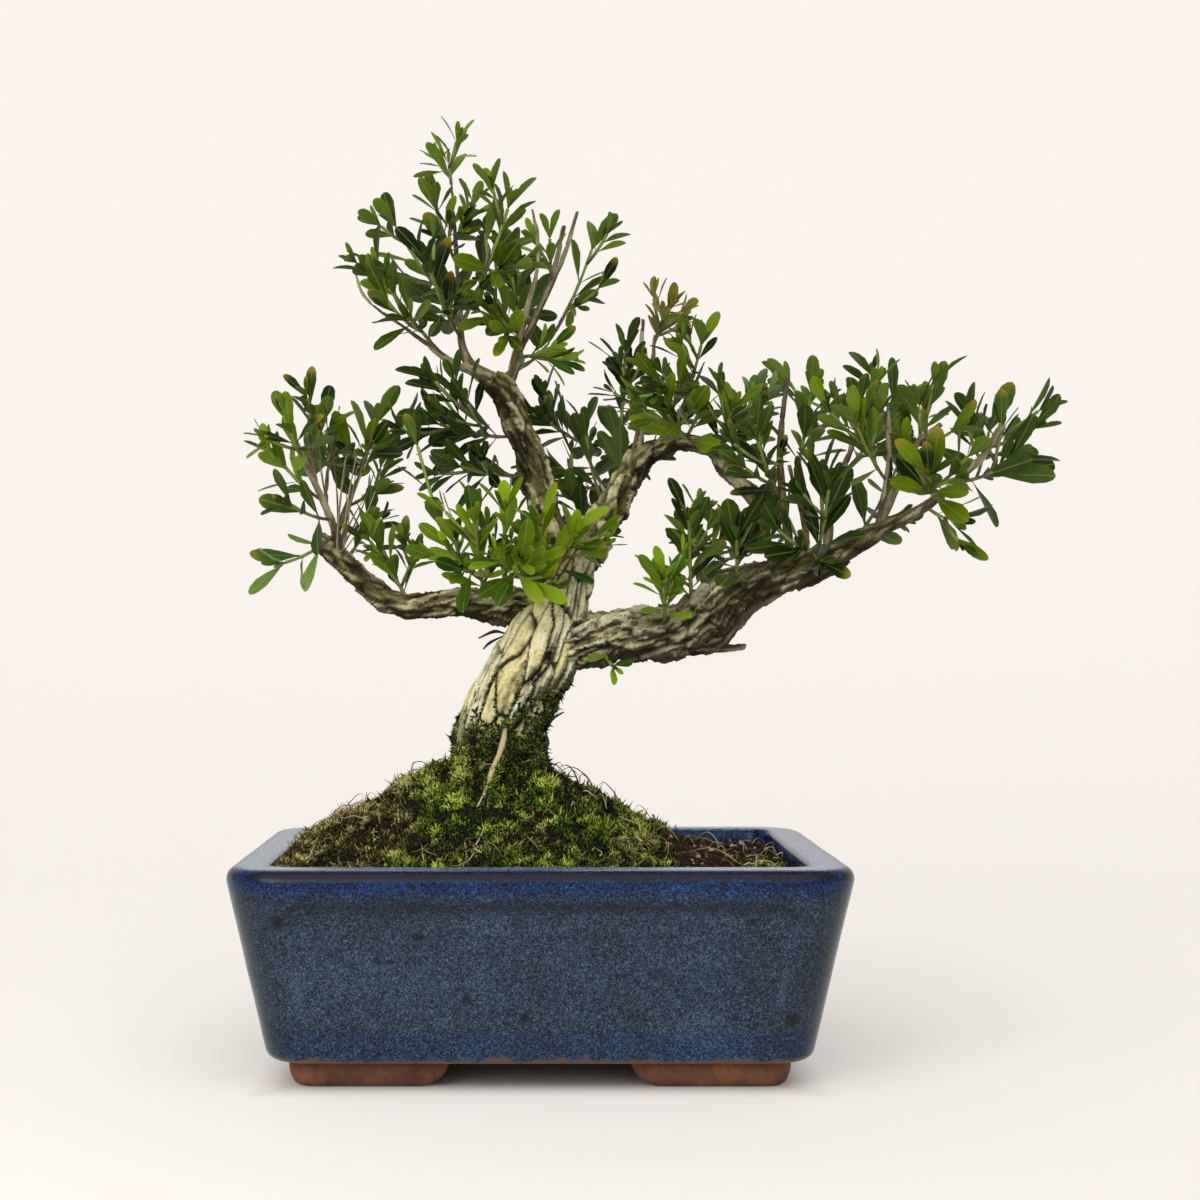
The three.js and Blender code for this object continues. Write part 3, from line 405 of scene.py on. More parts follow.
@dataclass(frozen=True)
class Spray:
    """A leafy spray: where it leaves its limb, and the tip and leaf pairs of each stem."""

    name: str
    limb: str
    at: float
    age: LeafTone
    leaf: float
    stems: tuple[tuple[float, float, float, int], ...]


# Each limb's centreline, as (x, y, z, radius) points
LIMBS = {
    "trunk": ((-15, 8, 97, 18), (-17, 8, 113, 20), (-18, 8, 126, 21), (-18, 6, 142, 20.5),
        (-15, 4, 153, 19.5), (-9, 2, 164, 19), (-2, 0, 175, 19.5), (3, 0, 186, 18), (8, 2, 198, 14.5),
        (12, 4, 209, 12), (16, 6, 219, 10), (20, 8, 227, 8.5)),
    "upper_right": ((18, 7, 223, 9), (28, 14, 238, 7.2), (35, 20, 248, 6.2), (41, 26, 260, 5.6),
        (47, 28, 269, 5), (55, 26, 274, 4.6), (63, 22, 277, 4.4), (73, 18, 275, 4.1), (80, 14, 272, 3.9),
        (86, 10, 264, 3.9), (92, 6, 255, 3.4), (97, 2, 246, 2.2)),
    "apex": ((12, 4, 205, 8), (8, 10, 223, 6.8), (4, 16, 240, 6.4), (-1, 18, 256, 6.2),
        (-5, 18, 272, 6.2), (-11, 16, 286, 6), (-16, 14, 298, 5.7), (-22, 12, 304, 4.8)),
    "apex_west": ((-20, 12, 303, 4.2), (-31, 10, 308, 2.7), (-39, 8, 311, 2.3), (-55, 2, 322, 1.6),
        (-64, -2, 328, 1.3), (-72, -5, 333, 1.1), (-79, -7, 340, 0.9), (-82, -8, 349, 0.7)),
    "apex_leader": ((-21, 12, 303, 4.4), (-31, 12, 310, 3.4), (-35, 12, 320, 2.7),
        (-36, 14, 332, 2.3), (-37, 16, 347, 1.8), (-38, 16, 364, 1.6), (-39, 14, 380, 1.2),
        (-40, 12, 393, 0.9)),
    "apex_fork": ((-36, 13, 327, 1.9), (-31, 6, 337, 1.4), (-26, 0, 348, 1.1),
        (-22, -6, 361, 0.9)),
    "apex_east": ((-17, 14, 299, 4.2), (-12, 14, 308, 3.4), (-9, 16, 319, 3), (-4, 18, 328, 2.5),
        (1, 20, 339, 2.1), (8, 22, 354, 1.8), (13, 22, 367, 1.6), (18, 22, 383, 1.2)),
    "apex_spike": ((-12, 14, 310, 2.1), (-8, 8, 325, 1.8), (-5, 2, 337, 1.6), (-1, -2, 351, 1.3),
        (-1, -6, 365, 1.1), (-3, -10, 377, 0.9)),
    "apex_stub": ((1, 20, 339, 1.8), (7, 28, 357, 1.9), (12, 34, 379, 1.6)),
    "apex_rear": ((-12, 14, 308, 2.1), (-4, 24, 314, 1.4), (4, 32, 323, 1.2), (11, 38, 336, 1),
        (18, 40, 351, 0.8)),
    "left": ((3, 3, 195, 10), (-12, 2, 200, 7.6), (-24, -2, 201, 6.3), (-35, -6, 202, 6),
        (-45, -8, 201, 6), (-56, -8, 200, 5.4), (-65, -8, 202, 4.7), (-74, -8, 208, 4.5), (-82, -6, 215, 4.5),
        (-89, -4, 221, 4.7), (-95, -4, 227, 4.5), (-99, -6, 232, 2.8)),
    "left_leader": ((-91, -4, 222, 3.9), (-91, -6, 233, 3.1), (-95, -10, 244, 2.4),
        (-100, -14, 256, 2), (-106, -18, 269, 1.8), (-112, -22, 284, 1.5)),
    "left_stub": ((-99, -13, 253, 1.8), (-102, -4, 265, 1.6), (-104, 4, 277, 1.4),
        (-105, 8, 288, 1.1)),
    "left_spike": ((-95, -10, 244, 1.6), (-95, -2, 260, 1.3), (-93, 6, 274, 1.1),
        (-91, 10, 292, 0.9)),
    "left_inner": ((-91, -5, 232, 2.2), (-87, 6, 246, 1.8), (-83, 14, 258, 1.4),
        (-77, 20, 270, 1.2)),
    "right": ((4, 0, 184, 13), (22, -3, 185, 12), (36, -6, 188, 10.8), (49, -10, 188, 10.5),
        (62, -12, 190, 10.2), (74, -14, 198, 9.7), (86, -16, 207, 8.4), (102, -18, 213, 6.8),
        (117, -20, 216, 6.2), (129, -22, 222, 5.5), (139, -24, 228, 4.8), (150, -25, 234, 3.7),
        (161, -24, 239, 3.1), (174, -22, 247, 2.4), (186, -20, 257, 2), (196, -18, 267, 1.8),
        (205, -16, 280, 2)),
    "right_low": ((57, -10, 184, 6), (72, -8, 183, 4.2), (82, -6, 185, 3.4), (88, -6, 192, 2.9),
        (95, -8, 199, 2.7), (105, -12, 206, 2.3), (114, -17, 212, 2.3)),
    "right_snag": ((66, -7, 183, 4), (81, 0, 182, 2.9), (93, 4, 182, 1.8)),
    "right_spike": ((113, -19, 217, 2.9), (108, -28, 231, 2.4), (104, -38, 253, 2.4),
        (103, -44, 272, 2.1), (105, -50, 297, 1.7)),
    "right_middle": ((126, -21, 222, 2.9), (131, -8, 249, 2.7), (138, 0, 265, 2.3),
        (145, 6, 282, 1.8), (149, 10, 294, 1.4)),
    "right_front": ((147, -25, 233, 2), (149, -34, 248, 1.7), (150, -40, 263, 1.7),
        (148, -46, 283, 1.7)),
    "right_leader": ((149, -25, 235, 2.6), (158, -18, 254, 2.4), (167, -10, 271, 2.2),
        (180, -4, 282, 2)),
    "right_rear": ((115, -19, 218, 3.5), (120, -2, 232, 2.5), (119, 14, 249, 2.1),
        (116, 26, 266, 1.4)),
    "right_knob": ((71, -14, 198, 3.5), (74, -2, 210, 2.2), (73, 6, 221, 1.4)),
    "upper_stem": ((45, 28, 266, 3.6), (47, 26, 283, 2.8), (49, 22, 298, 2.3), (52, 18, 313, 1.8),
        (53, 14, 325, 1.1)),
    "upper_stub": ((49, 22, 298, 1.8), (48, 32, 316, 1.6), (49, 38, 336, 1.4)),
    "upper_rear": ((34, 19, 247, 1.8), (24, 40, 269, 1.2), (15, 52, 288, 1), (8, 58, 310, 0.8)),
    "upper_front": ((61, 24, 275, 2.3), (64, 12, 288, 1.8), (70, 2, 300, 1.4),
        (74, -6, 310, 0.9)),
    "root_front": ((-12, -9, 145, 4), (-17, -19, 132, 2.7), (-22, -26, 122, 2.2),
        (-26, -33, 111, 1.8)),
    "root_left": ((-26, -3, 147, 6), (-33, -8, 131, 5), (-35, -13, 115, 4.2)),
    "root_right": ((-8, 6, 141, 7), (0, 14, 126, 5.2), (8, 24, 109, 4)),
    "root_rear": ((-18, 18, 141, 7.4), (-24, 35, 122, 5.4), (-30, 49, 105, 3.8)),
}

# The sprays at the back of the crown take the deep tone, as painted shade
SPRAYS = tuple(Spray(*row) for row in (
    ("apex_top", "apex_leader", 1, LeafTone.FRESH, 19, ((-41, 12, 402, 3),)),
    ("apex_high", "apex_leader", 0.46, LeafTone.MID, 21, ((-64, -4, 370, 3),)),
    ("apex_west", "apex_west", 0.3, LeafTone.MID, 21, ((-71, -16, 349, 4), (-66, -24, 333, 2))),
    ("apex_front", "apex_leader", 0.32, LeafTone.DEEP, 22, ((-49, -26, 350, 4),)),
    ("apex_crown", "apex_leader", 0.66, LeafTone.MID, 19, ((-46, 0, 378, 3), (-32, 6, 375, 2))),
    ("apex_fork", "apex_fork", 0.43, LeafTone.MID, 21, ((-14, -10, 377, 4), (-18, -20, 348, 2))),
    ("apex_middle", "apex_east", 0.26, LeafTone.MID, 22, ((-10, 10, 342, 3), (-19, -4, 332, 2))),
    ("apex_small", "apex_east", 0.67, LeafTone.FRESH, 16, ((5, 16, 369, 3),)),
    ("apex_east", "apex_rear", 0.64, LeafTone.MID, 21, ((25, 42, 369, 3), (17, 32, 341, 2))),
    ("apex_low", "apex_spike", 0.06, LeafTone.FRESH, 19, ((4, 0, 316, 3),)),
    ("apex_rear_west", "apex_leader", 0.39, LeafTone.DEEP, 22, ((-50, 46, 361, 4),)),
    ("apex_rear_east", "apex_east", 0.43, LeafTone.DEEP, 22, ((-10, 54, 363, 4),)),
    ("left_top", "left_leader", 0.75, LeafTone.MID, 19, ((-108, -30, 275, 3),)),
    ("left_lime", "left_leader", 0.45, LeafTone.LIME, 18, ((-116, -14, 266, 4),)),
    ("left_side", "left_leader", 0.31, LeafTone.DEEP, 20, ((-108, -26, 244, 3),)),
    ("left_droop", "left_leader", 0.2, LeafTone.PALE, 22, ((-111, -26, 219, 3),)),
    ("left_middle", "left_stub", 0.4, LeafTone.MID, 20, ((-97, -8, 282, 3),)),
    ("left_high", "left_inner", 0.68, LeafTone.MID, 24, ((-76, 22, 283, 3), (-84, 4, 269, 1))),
    ("left_small", "left_inner", 0.33, LeafTone.MID, 18, ((-74, 18, 256, 3),)),
    ("left_rear", "left_spike", 0.4, LeafTone.DEEP, 20, ((-98, 32, 273, 4),)),
    ("left_shoot", "left", 0.46, LeafTone.MID, 21, ((-69, -16, 225, 4), (-57, -10, 221, 2))),
    ("left_inside", "left", 0.8, LeafTone.DEEP, 20, ((-78, 6, 237, 4),)),
    ("lime_left", "left", 0.18, LeafTone.LIME, 21, ((-28, -36, 235, 4), (-38, -30, 224, 2))),
    ("lime_front", "left", 0.12, LeafTone.LIME, 22, ((-15, -44, 240, 4), (-8, -46, 218, 2))),
    ("lime_right", "trunk", 0.75, LeafTone.LIME, 22, ((0, -34, 234, 4), (13, -26, 231, 2))),
    ("slim_shoot", "left", 0.24, LeafTone.MID, 20, ((-54, -12, 271, 4),)),
    ("dark_left", "apex", 0.64, LeafTone.DEEP, 26, ((-45, 6, 283, 4), (-32, -4, 291, 2))),
    ("dark_low", "apex", 0.48, LeafTone.DEEP, 24, ((-35, -2, 263, 3),)),
    ("rear_far", "upper_rear", 0.52, LeafTone.DEEP, 22, ((4, 46, 291, 3),)),
    ("rear_high", "upper_right", 0.13, LeafTone.DEEP, 23, ((22, 66, 286, 4), (0, 62, 269, 1))),
    ("rear_middle", "upper_right", 0.24, LeafTone.DEEP, 22, ((38, 60, 285, 4),)),
    ("rear_low", "trunk", 0.92, LeafTone.DEEP, 21, ((28, 54, 253, 3),)),
    ("upper_left", "upper_stem", 0.29, LeafTone.DEEP, 20, ((38, 14, 310, 3),)),
    ("upper_tip", "upper_stem", 0.91, LeafTone.OLIVE, 19, ((56, 12, 331, 2),)),
    ("upper_front", "upper_front", 0.33, LeafTone.MID, 20, ((72, -10, 316, 3), (55, -8, 299, 2))),
    ("upper_rear", "upper_right", 0.47, LeafTone.DEEP, 21, ((65, 46, 301, 4),)),
    ("upper_long", "upper_right", 0.64, LeafTone.MID, 26, ((57, -14, 285, 2),)),
    ("upper_arch", "upper_right", 0.74, LeafTone.MID, 21, ((86, -4, 287, 3),)),
    ("upper_far", "upper_right", 0.88, LeafTone.PALE, 18, ((98, 26, 296, 4),)),
    ("right_bright", "right", 0.22, LeafTone.FRESH, 19, ((54, -38, 211, 5),)),
    ("right_tall", "right", 0.28, LeafTone.MID, 21, ((65, -30, 237, 5),)),
    ("right_big", "right", 0.38, LeafTone.DEEP, 26, ((85, -38, 228, 3),)),
    ("right_trefoil", "right", 0.08, LeafTone.FRESH, 16, ((32, -26, 174, 2),)),
    ("right_forward", "right_spike", 0.39, LeafTone.DEEP, 22, ((92, -54, 269, 3),)),
    ("right_behind", "right_rear", 0.83, LeafTone.MID, 22, ((126, 24, 299, 4),)),
    ("right_broad", "right", 0.52, LeafTone.DEEP, 26, ((123, -48, 249, 3), (111, -52, 223, 1))),
    ("right_young", "right_middle", 0.81, LeafTone.FRESH, 18, ((153, 4, 301, 3),)),
    ("right_back", "right_middle", 0.41, LeafTone.DEEP, 25, ((163, 20, 293, 4),)),
    ("right_front", "right_front", 0.47, LeafTone.MID, 22, ((134, -54, 275, 3),)),
    ("right_crown", "right_leader", 0.5, LeafTone.MID, 22, ((177, 4, 291, 3), (180, -22, 276, 2))),
    ("right_spread", "right", 0.81, LeafTone.MID, 25, ((166, -46, 255, 3),)),
    ("right_tip", "right", 0.86, LeafTone.DEEP, 27, ((207, -12, 263, 3), (203, 2, 279, 1))),
    ("right_low", "right", 0.79, LeafTone.MID, 24, ((178, -28, 238, 2),)),
    ("right_rear", "right", 0.6, LeafTone.DEEP, 23, ((171, 34, 274, 3),)),
    ("right_inside", "right", 0.44, LeafTone.DEEP, 22, ((105, 16, 249, 4), (79, 18, 231, 1))),
))


class Route:
    """A curve from 0 to 1."""

    STEP = 1e-4

    def point(self, t: float) -> Array:
        """The point at a fraction."""
        raise NotImplementedError

    def direction(self, t: float) -> Array:
        """The unit direction at a fraction."""
        return unit(self.point(min(t + self.STEP, 1)) - self.point(max(t - self.STEP, 0)))


class Centreline(Route):
    """A smooth curve through points, each with its radius."""

    TENSION = 0.5

    def __init__(self, points: Sequence[Knot]) -> None:
        """Takes the (x, y, z, radius) points.

        Args:
            points: The limb's points.
        """
        rows = np.array(points, float)
        self.radii = rows[:, 3]
        self.knots = rows[:, :3]

    def point(self, t: float) -> Array:
        """The point at a fraction of the knots.

        Args:
            t: How far along, from 0 to 1.

        Returns:
            The point in mm.
        """
        at = t * (len(self.knots) - 1)
        i = min(int(at), len(self.knots) - 2)
        share = at - i
        before, start, end, after = (self.knot(i + k) for k in (-1, 0, 1, 2))
        leave, arrive = self.TENSION * (end - before), self.TENSION * (after - start)
        turn = 2 * (start - end) + leave + arrive
        swing = 3 * (end - start) - 2 * leave - arrive
        return start + share * (leave + share * (swing + share * turn))

    def knot(self, i: int) -> Array:
        """A knot, or the one that would come before the first or after the last.

        Args:
            i: The knot's number, which may be just past either end.

        Returns:
            The knot in mm.
        """
        if i < 0:
            return 2 * self.knots[0] - self.knots[1]
        if i >= len(self.knots):
            return 2 * self.knots[-1] - self.knots[-2]
        return self.knots[i]

    def radius(self, t: float) -> float:
        """The radius at a fraction of the knots."""
        return float(np.interp(t * (len(self.radii) - 1), np.arange(len(self.radii)), self.radii))


@dataclass
class Bow(Route):
    """A curved stem: a quadratic curve that sags by lift and swings aside by side, as shares of its span."""

    start: Array
    end: Array
    lift: float
    side: float

    def __post_init__(self) -> None:
        """Works out the curve's middle point."""
        span = float(np.linalg.norm(self.end - self.start))
        sideways = cross_axes(unit(self.end - self.start))[0]
        self.middle = (self.start + self.end) / 2 - self.lift * span * UP + self.side * span * sideways

    def point(self, t: float) -> Array:
        """The point at a fraction."""
        return (1 - t) ** 2 * self.start + 2 * (1 - t) * t * self.middle + t * t * self.end


def cross_axes(direction: Array) -> tuple[Array, Array]:
    """Two unit vectors square to a direction and to each other.

    Args:
        direction: A unit vector.

    Returns:
        The two vectors.
    """
    reference = UP if abs(direction @ DEPTH) > 0.9 else DEPTH
    first = unit(np.cross(direction, reference))
    return first, np.cross(first, direction)


def sideways(direction: Array, turn: float) -> Array:
    """The unit vector square to a direction, at this turn round it in radians."""
    first, second = cross_axes(direction)
    return first * math.cos(turn) + second * math.sin(turn)


@dataclass
class Tube:
    """A round bar along points, as rings of vertices."""

    path: Array
    radii: Array
    sides: int

    def build(self) -> tuple[Array, list[list[int]]]:
        """Makes the bar's points and faces, with both ends closed.

        Returns:
            The points in mm, and the faces.
        """
        turns = np.arange(self.sides) * 2 * math.pi / self.sides
        rings = []
        for i, centre in enumerate(self.path):
            ahead = self.path[min(i + 1, len(self.path) - 1)] - self.path[max(i - 1, 0)]
            first, second = cross_axes(unit(ahead))
            round_ = np.outer(np.sin(turns), first) + np.outer(np.cos(turns), second)
            rings.append(centre + round_ * np.atleast_1d(self.radii[i])[:, None])
        faces = [list(range(self.sides))[::-1]]
        for i in range(len(self.path) - 1):
            for j in range(self.sides):
                k = (j + 1) % self.sides
                a, b = i * self.sides, (i + 1) * self.sides
                faces.append([a + j, a + k, b + k, b + j])
        last = (len(self.path) - 1) * self.sides
        faces.append([last + j for j in range(self.sides)])
        return np.vstack(rings), faces


@dataclass
class Heap:
    """Points and faces gathered from many small shapes, with the numbers kept for each vertex."""

    points: list[Array] = field(default_factory=list)
    faces: list[list[int]] = field(default_factory=list)
    slots: list[int] = field(default_factory=list)
    notes: dict[str, list[Array]] = field(default_factory=dict)
    count: int = 0

    def put(
        self, points: Array, faces: Sequence[Sequence[int]], slots: object = 0, **notes: object
    ) -> None:
        """Adds one shape.

        Args:
            points: Its vertices in mm.
            faces: Its faces.
            slots: The material slot of all its faces, or one for each.
            **notes: One number, or one for each vertex, under each name.
        """
        self.points.append(points)
        self.faces.extend([self.count + i for i in face] for face in faces)
        self.slots.extend(np.broadcast_to(slots, len(faces)).tolist())
        for name, value in notes.items():
            self.notes.setdefault(name, []).append(np.broadcast_to(np.asarray(value, float), len(points)))
        self.count += len(points)

    def build(self, bench: Bench, name: str) -> Piece:
        """Makes the heap one object, with its notes and material slots.

        Args:
            bench: Where it is made.
            name: Its name.

        Returns:
            The object.
        """
        piece = bench.mesh(name, np.vstack(self.points), self.faces)
        bench.note(piece, **{name: np.concatenate(values) for name, values in self.notes.items()})
        piece.data.polygons.foreach_set("material_index", self.slots)
        return piece


def cell_draw(cells: Array, salt: int) -> Array:
    """A repeatable number from 0 to 1 for each cell of whole numbers.

    Args:
        cells: The cells, three whole numbers for each.
        salt: Another number gives other draws.

    Returns:
        A draw for each cell.
    """
    mixed = cells[..., 0] * 73856093 ^ cells[..., 1] * 19349663 ^ cells[..., 2] * 83492791 ^ salt * 2654435
    mixed = (mixed ^ (mixed >> 13)) * 1274126177 & 0xFFFFFFFF
    mixed = (mixed ^ (mixed >> 15)) * 2246822519 & 0xFFFFFFFF
    return (mixed ^ (mixed >> 16)) / 2.0**32


def ripple(points: Array, size: float | Point, octaves: int = 2, salt: int = 0) -> Array:
    """Smooth noise from -1 to 1 whose lumps measure size, each octave half as large as the last.

    Args:
        points: Where to look.
        size: How large a lump is, or how large along each axis.
        octaves: How many sizes of lumps are added up.
        salt: Another number gives another pattern.

    Returns:
        The noise at each point.
    """
    place = points / np.asarray(size, float)
    total, weight = np.zeros(len(points)), 1.0
    for octave in range(octaves):
        floor = np.floor(place).astype(np.int64)
        share = place - floor
        share = share * share * (3 - 2 * share)
        value = np.zeros(len(points))
        for corner in np.ndindex(2, 2, 2):
            nearness = np.prod(np.where(corner, share, 1 - share), axis=1)
            value += nearness * cell_draw(floor + corner, salt + octave)
        total += weight * (2 * value - 1)
        place, weight = place * 2.03 + 7.1, weight / 2
    return total / (2 - 2.0 ** (1 - octaves))


def crackle(points: Array, size: float | Point, salt: int) -> tuple[Array, Array]:
    """Cells of a size, as bark splits into plates.

    Args:
        points: Where to look.
        size: How large a cell is, along each axis.
        salt: Another number gives another pattern.

    Returns:
        How much nearer each point is to its own cell's middle than to the next one's, and a draw for the
        cell, from 0 to 1.
    """
    place = points / np.asarray(size, float)
    floor = np.floor(place).astype(np.int64)
    nearest, second = np.full(len(points), 9.0), np.full(len(points), 9.0)
    owner = np.zeros(len(points))
    for step in np.ndindex(3, 3, 3):
        cell = floor + np.array(step) - 1
        middle = cell + np.stack([cell_draw(cell, salt + 11 * axis + 1) for axis in range(3)], axis=1)
        distance = np.linalg.norm(place - middle, axis=1)
        closer = distance < nearest
        second = np.where(closer, nearest, np.minimum(second, distance))
        owner = np.where(closer, cell_draw(cell, salt + 77), owner)
        nearest = np.where(closer, distance, nearest)
    return second - nearest, owner


@dataclass
class Box:
    """A box with three unit axes, that a stem or a leaf fills."""

    centre: Array
    axes: Array
    half: Array

    @classmethod
    def stretch(cls, start: Array, end: Array, radius: float) -> "Box":
        """The box round a straight stretch, as wide as radius each way.

        Args:
            start: One end in mm.
            end: The other end.
            radius: Half the box's width.

        Returns:
            The box.
        """
        along = unit(end - start)
        half = np.array((np.linalg.norm(end - start) / 2, radius, radius))
        return cls((start + end) / 2, np.array((along, *cross_axes(along))), half)


@dataclass
class Room:
    """The space round the tree, and the boxes that are already taken in it."""

    clearance: float = 0.55
    centres: Array = field(default_factory=lambda: np.empty((0, 3)))
    axes: Array = field(default_factory=lambda: np.empty((0, 3, 3)))
    halves: Array = field(default_factory=lambda: np.empty((0, 3)))
    owners: Array = field(default_factory=lambda: np.empty(0, int))
    leaves: Array = field(default_factory=lambda: np.empty(0, bool))

    def take(self, boxes: Sequence[Box], owner: int, leaf: bool = False) -> None:
        """Fills boxes on behalf of a spray, by its number.

        Args:
            boxes: What is filled.
            owner: The spray's number, or -1 for a limb.
            leaf: Whether a leaf fills them.
        """
        self.centres = np.concatenate([self.centres, [box.centre for box in boxes]])
        self.axes = np.concatenate([self.axes, [box.axes for box in boxes]])
        self.halves = np.concatenate([self.halves, [box.half for box in boxes]])
        self.owners = np.concatenate([self.owners, np.full(len(boxes), owner)])
        self.leaves = np.concatenate([self.leaves, np.full(len(boxes), leaf)])

    def is_clear(self, boxes: Sequence[Box], ignored: Array) -> bool:
        """Whether boxes keep the clearance from all that are taken, apart from the ignored ones."""
        return not any(self.meets(box, ~ignored) for box in boxes)

    def meets(self, box: Box, counted: Array) -> bool:
        """Whether a box comes closer than the clearance to any box that counts.

        Args:
            box: The box.
            counted: Which of the taken boxes count.

        Returns:
            Whether one of them is too close.
        """
        offset = self.centres - box.centre
        reach = np.linalg.norm(self.halves, axis=1) + np.linalg.norm(box.half) + self.clearance
        near = counted & (np.linalg.norm(offset, axis=1) <= reach)
        if not near.any():
            return False
        offset, axes, halves = offset[near], self.axes[near], self.halves[near]
        crossed = np.cross(box.axes[None, :, None, :], axes[:, None, :, :]).reshape(len(offset), 9, 3)
        length = np.linalg.norm(crossed, axis=2, keepdims=True)
        own = np.broadcast_to(box.axes, axes.shape)
        tests = np.concatenate([own, axes, crossed / np.maximum(length, 1e-6)], axis=1)
        span = np.abs(np.einsum("ntk,ik->nti", tests, box.axes)) @ box.half
        span += np.einsum("nti,ni->nt", np.abs(np.einsum("ntk,nik->nti", tests, axes)), halves)
        apart = np.abs(np.einsum("ntk,nk->nt", tests, offset)) > span + self.clearance
        apart[:, 6:] &= length[:, :, 0] > 1e-6
        return bool((~apart.any(axis=1)).any())


@dataclass
class Leaf:
    """One leaf where it grows: its root, its axes, its size and how far its tip bends back."""

    root: Array
    along: Array
    across: Array
    face: Array
    length: float
    width: float
    bend: float
    PAST_STEM: ClassVar[float] = 0.14
    WIDEST: ClassVar[float] = 0.62
    BLADE_HALF: ClassVar[float] = 0.35

    def place(self, share: Array, across: Array, above: Array) -> Array:
        """Points of the leaf.

        Args:
            share: How far along the midrib each point is, from 0 to 1.
            across: How far it is to the side, in half widths.
            above: How far it is above the blade, in mm.

        Returns:
            The points in mm.
        """
        rise = above - self.bend * self.length * share ** 2
        side = across * self.width / 2
        flat = self.root + np.outer(share * self.length, self.along)
        return flat + np.outer(side, self.across) + np.outer(rise, self.face)

    def tip(self) -> Array:
        """Where the leaf ends."""
        return self.place(np.ones(1), np.zeros(1), np.zeros(1))[0]

    def boxes(self) -> list[Box]:
        """The boxes that the blade fills, before and past its widest place.

        Returns:
            The two boxes.
        """
        filled = []
        parts = ((self.PAST_STEM, self.WIDEST, 1.5 * self.BLADE_HALF), (self.WIDEST, 1.0, self.BLADE_HALF))
        for start_share, end_share, thin in parts:
            start, end = self.place(np.array((start_share, end_share)), np.zeros(2), np.zeros(2))
            along = unit(end - start)
            axes = np.array((along, self.across, unit(np.cross(along, self.across))))
            half = np.array((np.linalg.norm(end - start) / 2, self.width / 2, thin))
            filled.append(Box((start + end) / 2, axes, half))
        return filled


@dataclass(frozen=True)
class Growth:
    """How leaves grow on a stem. Degrees, and shares of a leaf's length or of a stem's span."""

    multiplier: int = 1664525
    increment: int = 1013904223
    seed: int = 20260
    open_angle: Pair = (52, 26)
    open_draw: Pair = (-6, 8)
    length_share: Pair = (1.05, 0.9)
    length_draw: Pair = (0.88, 1.12)
    width_draw: Pair = (0.92, 1.08)
    bend_draw: Pair = (0.02, 0.16)
    turn_draw: Pair = (-0.25, 0.25)
    stem_half: Pair = (0.8, 0.6)
    least_bare: float = 0.3
    shoot_bare: float = 0.35
    shoot_at: float = 0.4
    clear_of_bark: float = 3.0
    bark_bulge: float = 1.08
    attitudes: tuple[Point, ...] = (
        (0, 0, 1), (-10, 0, 1), (12, 0, 1), (0, 25, 1), (0, -25, 1), (-10, 45, 1), (-10, -45, 1), (20, 15, 1),
        (0, 0, 0.8), (-10, 30, 0.8), (-10, -30, 0.8), (14, 50, 0.8), (-10, 0, 0.66), (0, 45, 0.66),
        (0, -45, 0.66),
    )
    bows: tuple[Pair, ...] = (
        (0.12, 0), (0.12, 0.12), (0.12, -0.12), (-0.06, 0), (0.25, 0), (0.1, 0.25), (0.1, -0.25), (0, 0.4),
    )
    fill_clearance: float = 0.15
    fill_reach: float = 6.0
    fill_size: Pair = (0.7, 0.95)
    side_at: tuple[float, ...] = (0.42, 0.58, 0.72, 0.86)
    side_angle: Pair = (32, 68)
    side_length: Pair = (0.5, 0.95)
    side_lift: float = 0.2
    side_nodes: tuple[float, ...] = (0.45, 0.74, 1.0)
    open_sprays: tuple[str, ...] = ("apex", "left")
    spare_sprays: tuple[str, ...] = ("left_droop", "left_side", "slim_shoot", "right_young", "right_trefoil")

    def draws(self) -> Iterator[float]:
        """The same run of numbers from 0 to 1 each time.

        Returns:
            The draws, without an end.
        """
        state = self.seed
        while True:
            state = (state * self.multiplier + self.increment) % 2 ** 32
            yield state / 2 ** 32


@dataclass
class Shoot:
    """One stem of a spray, the places of its leaf pairs, and the leaves on it."""

    curve: Bow
    stations: list[float]
    leaves: list[Leaf] = field(default_factory=list)
    turn: float = 0.0


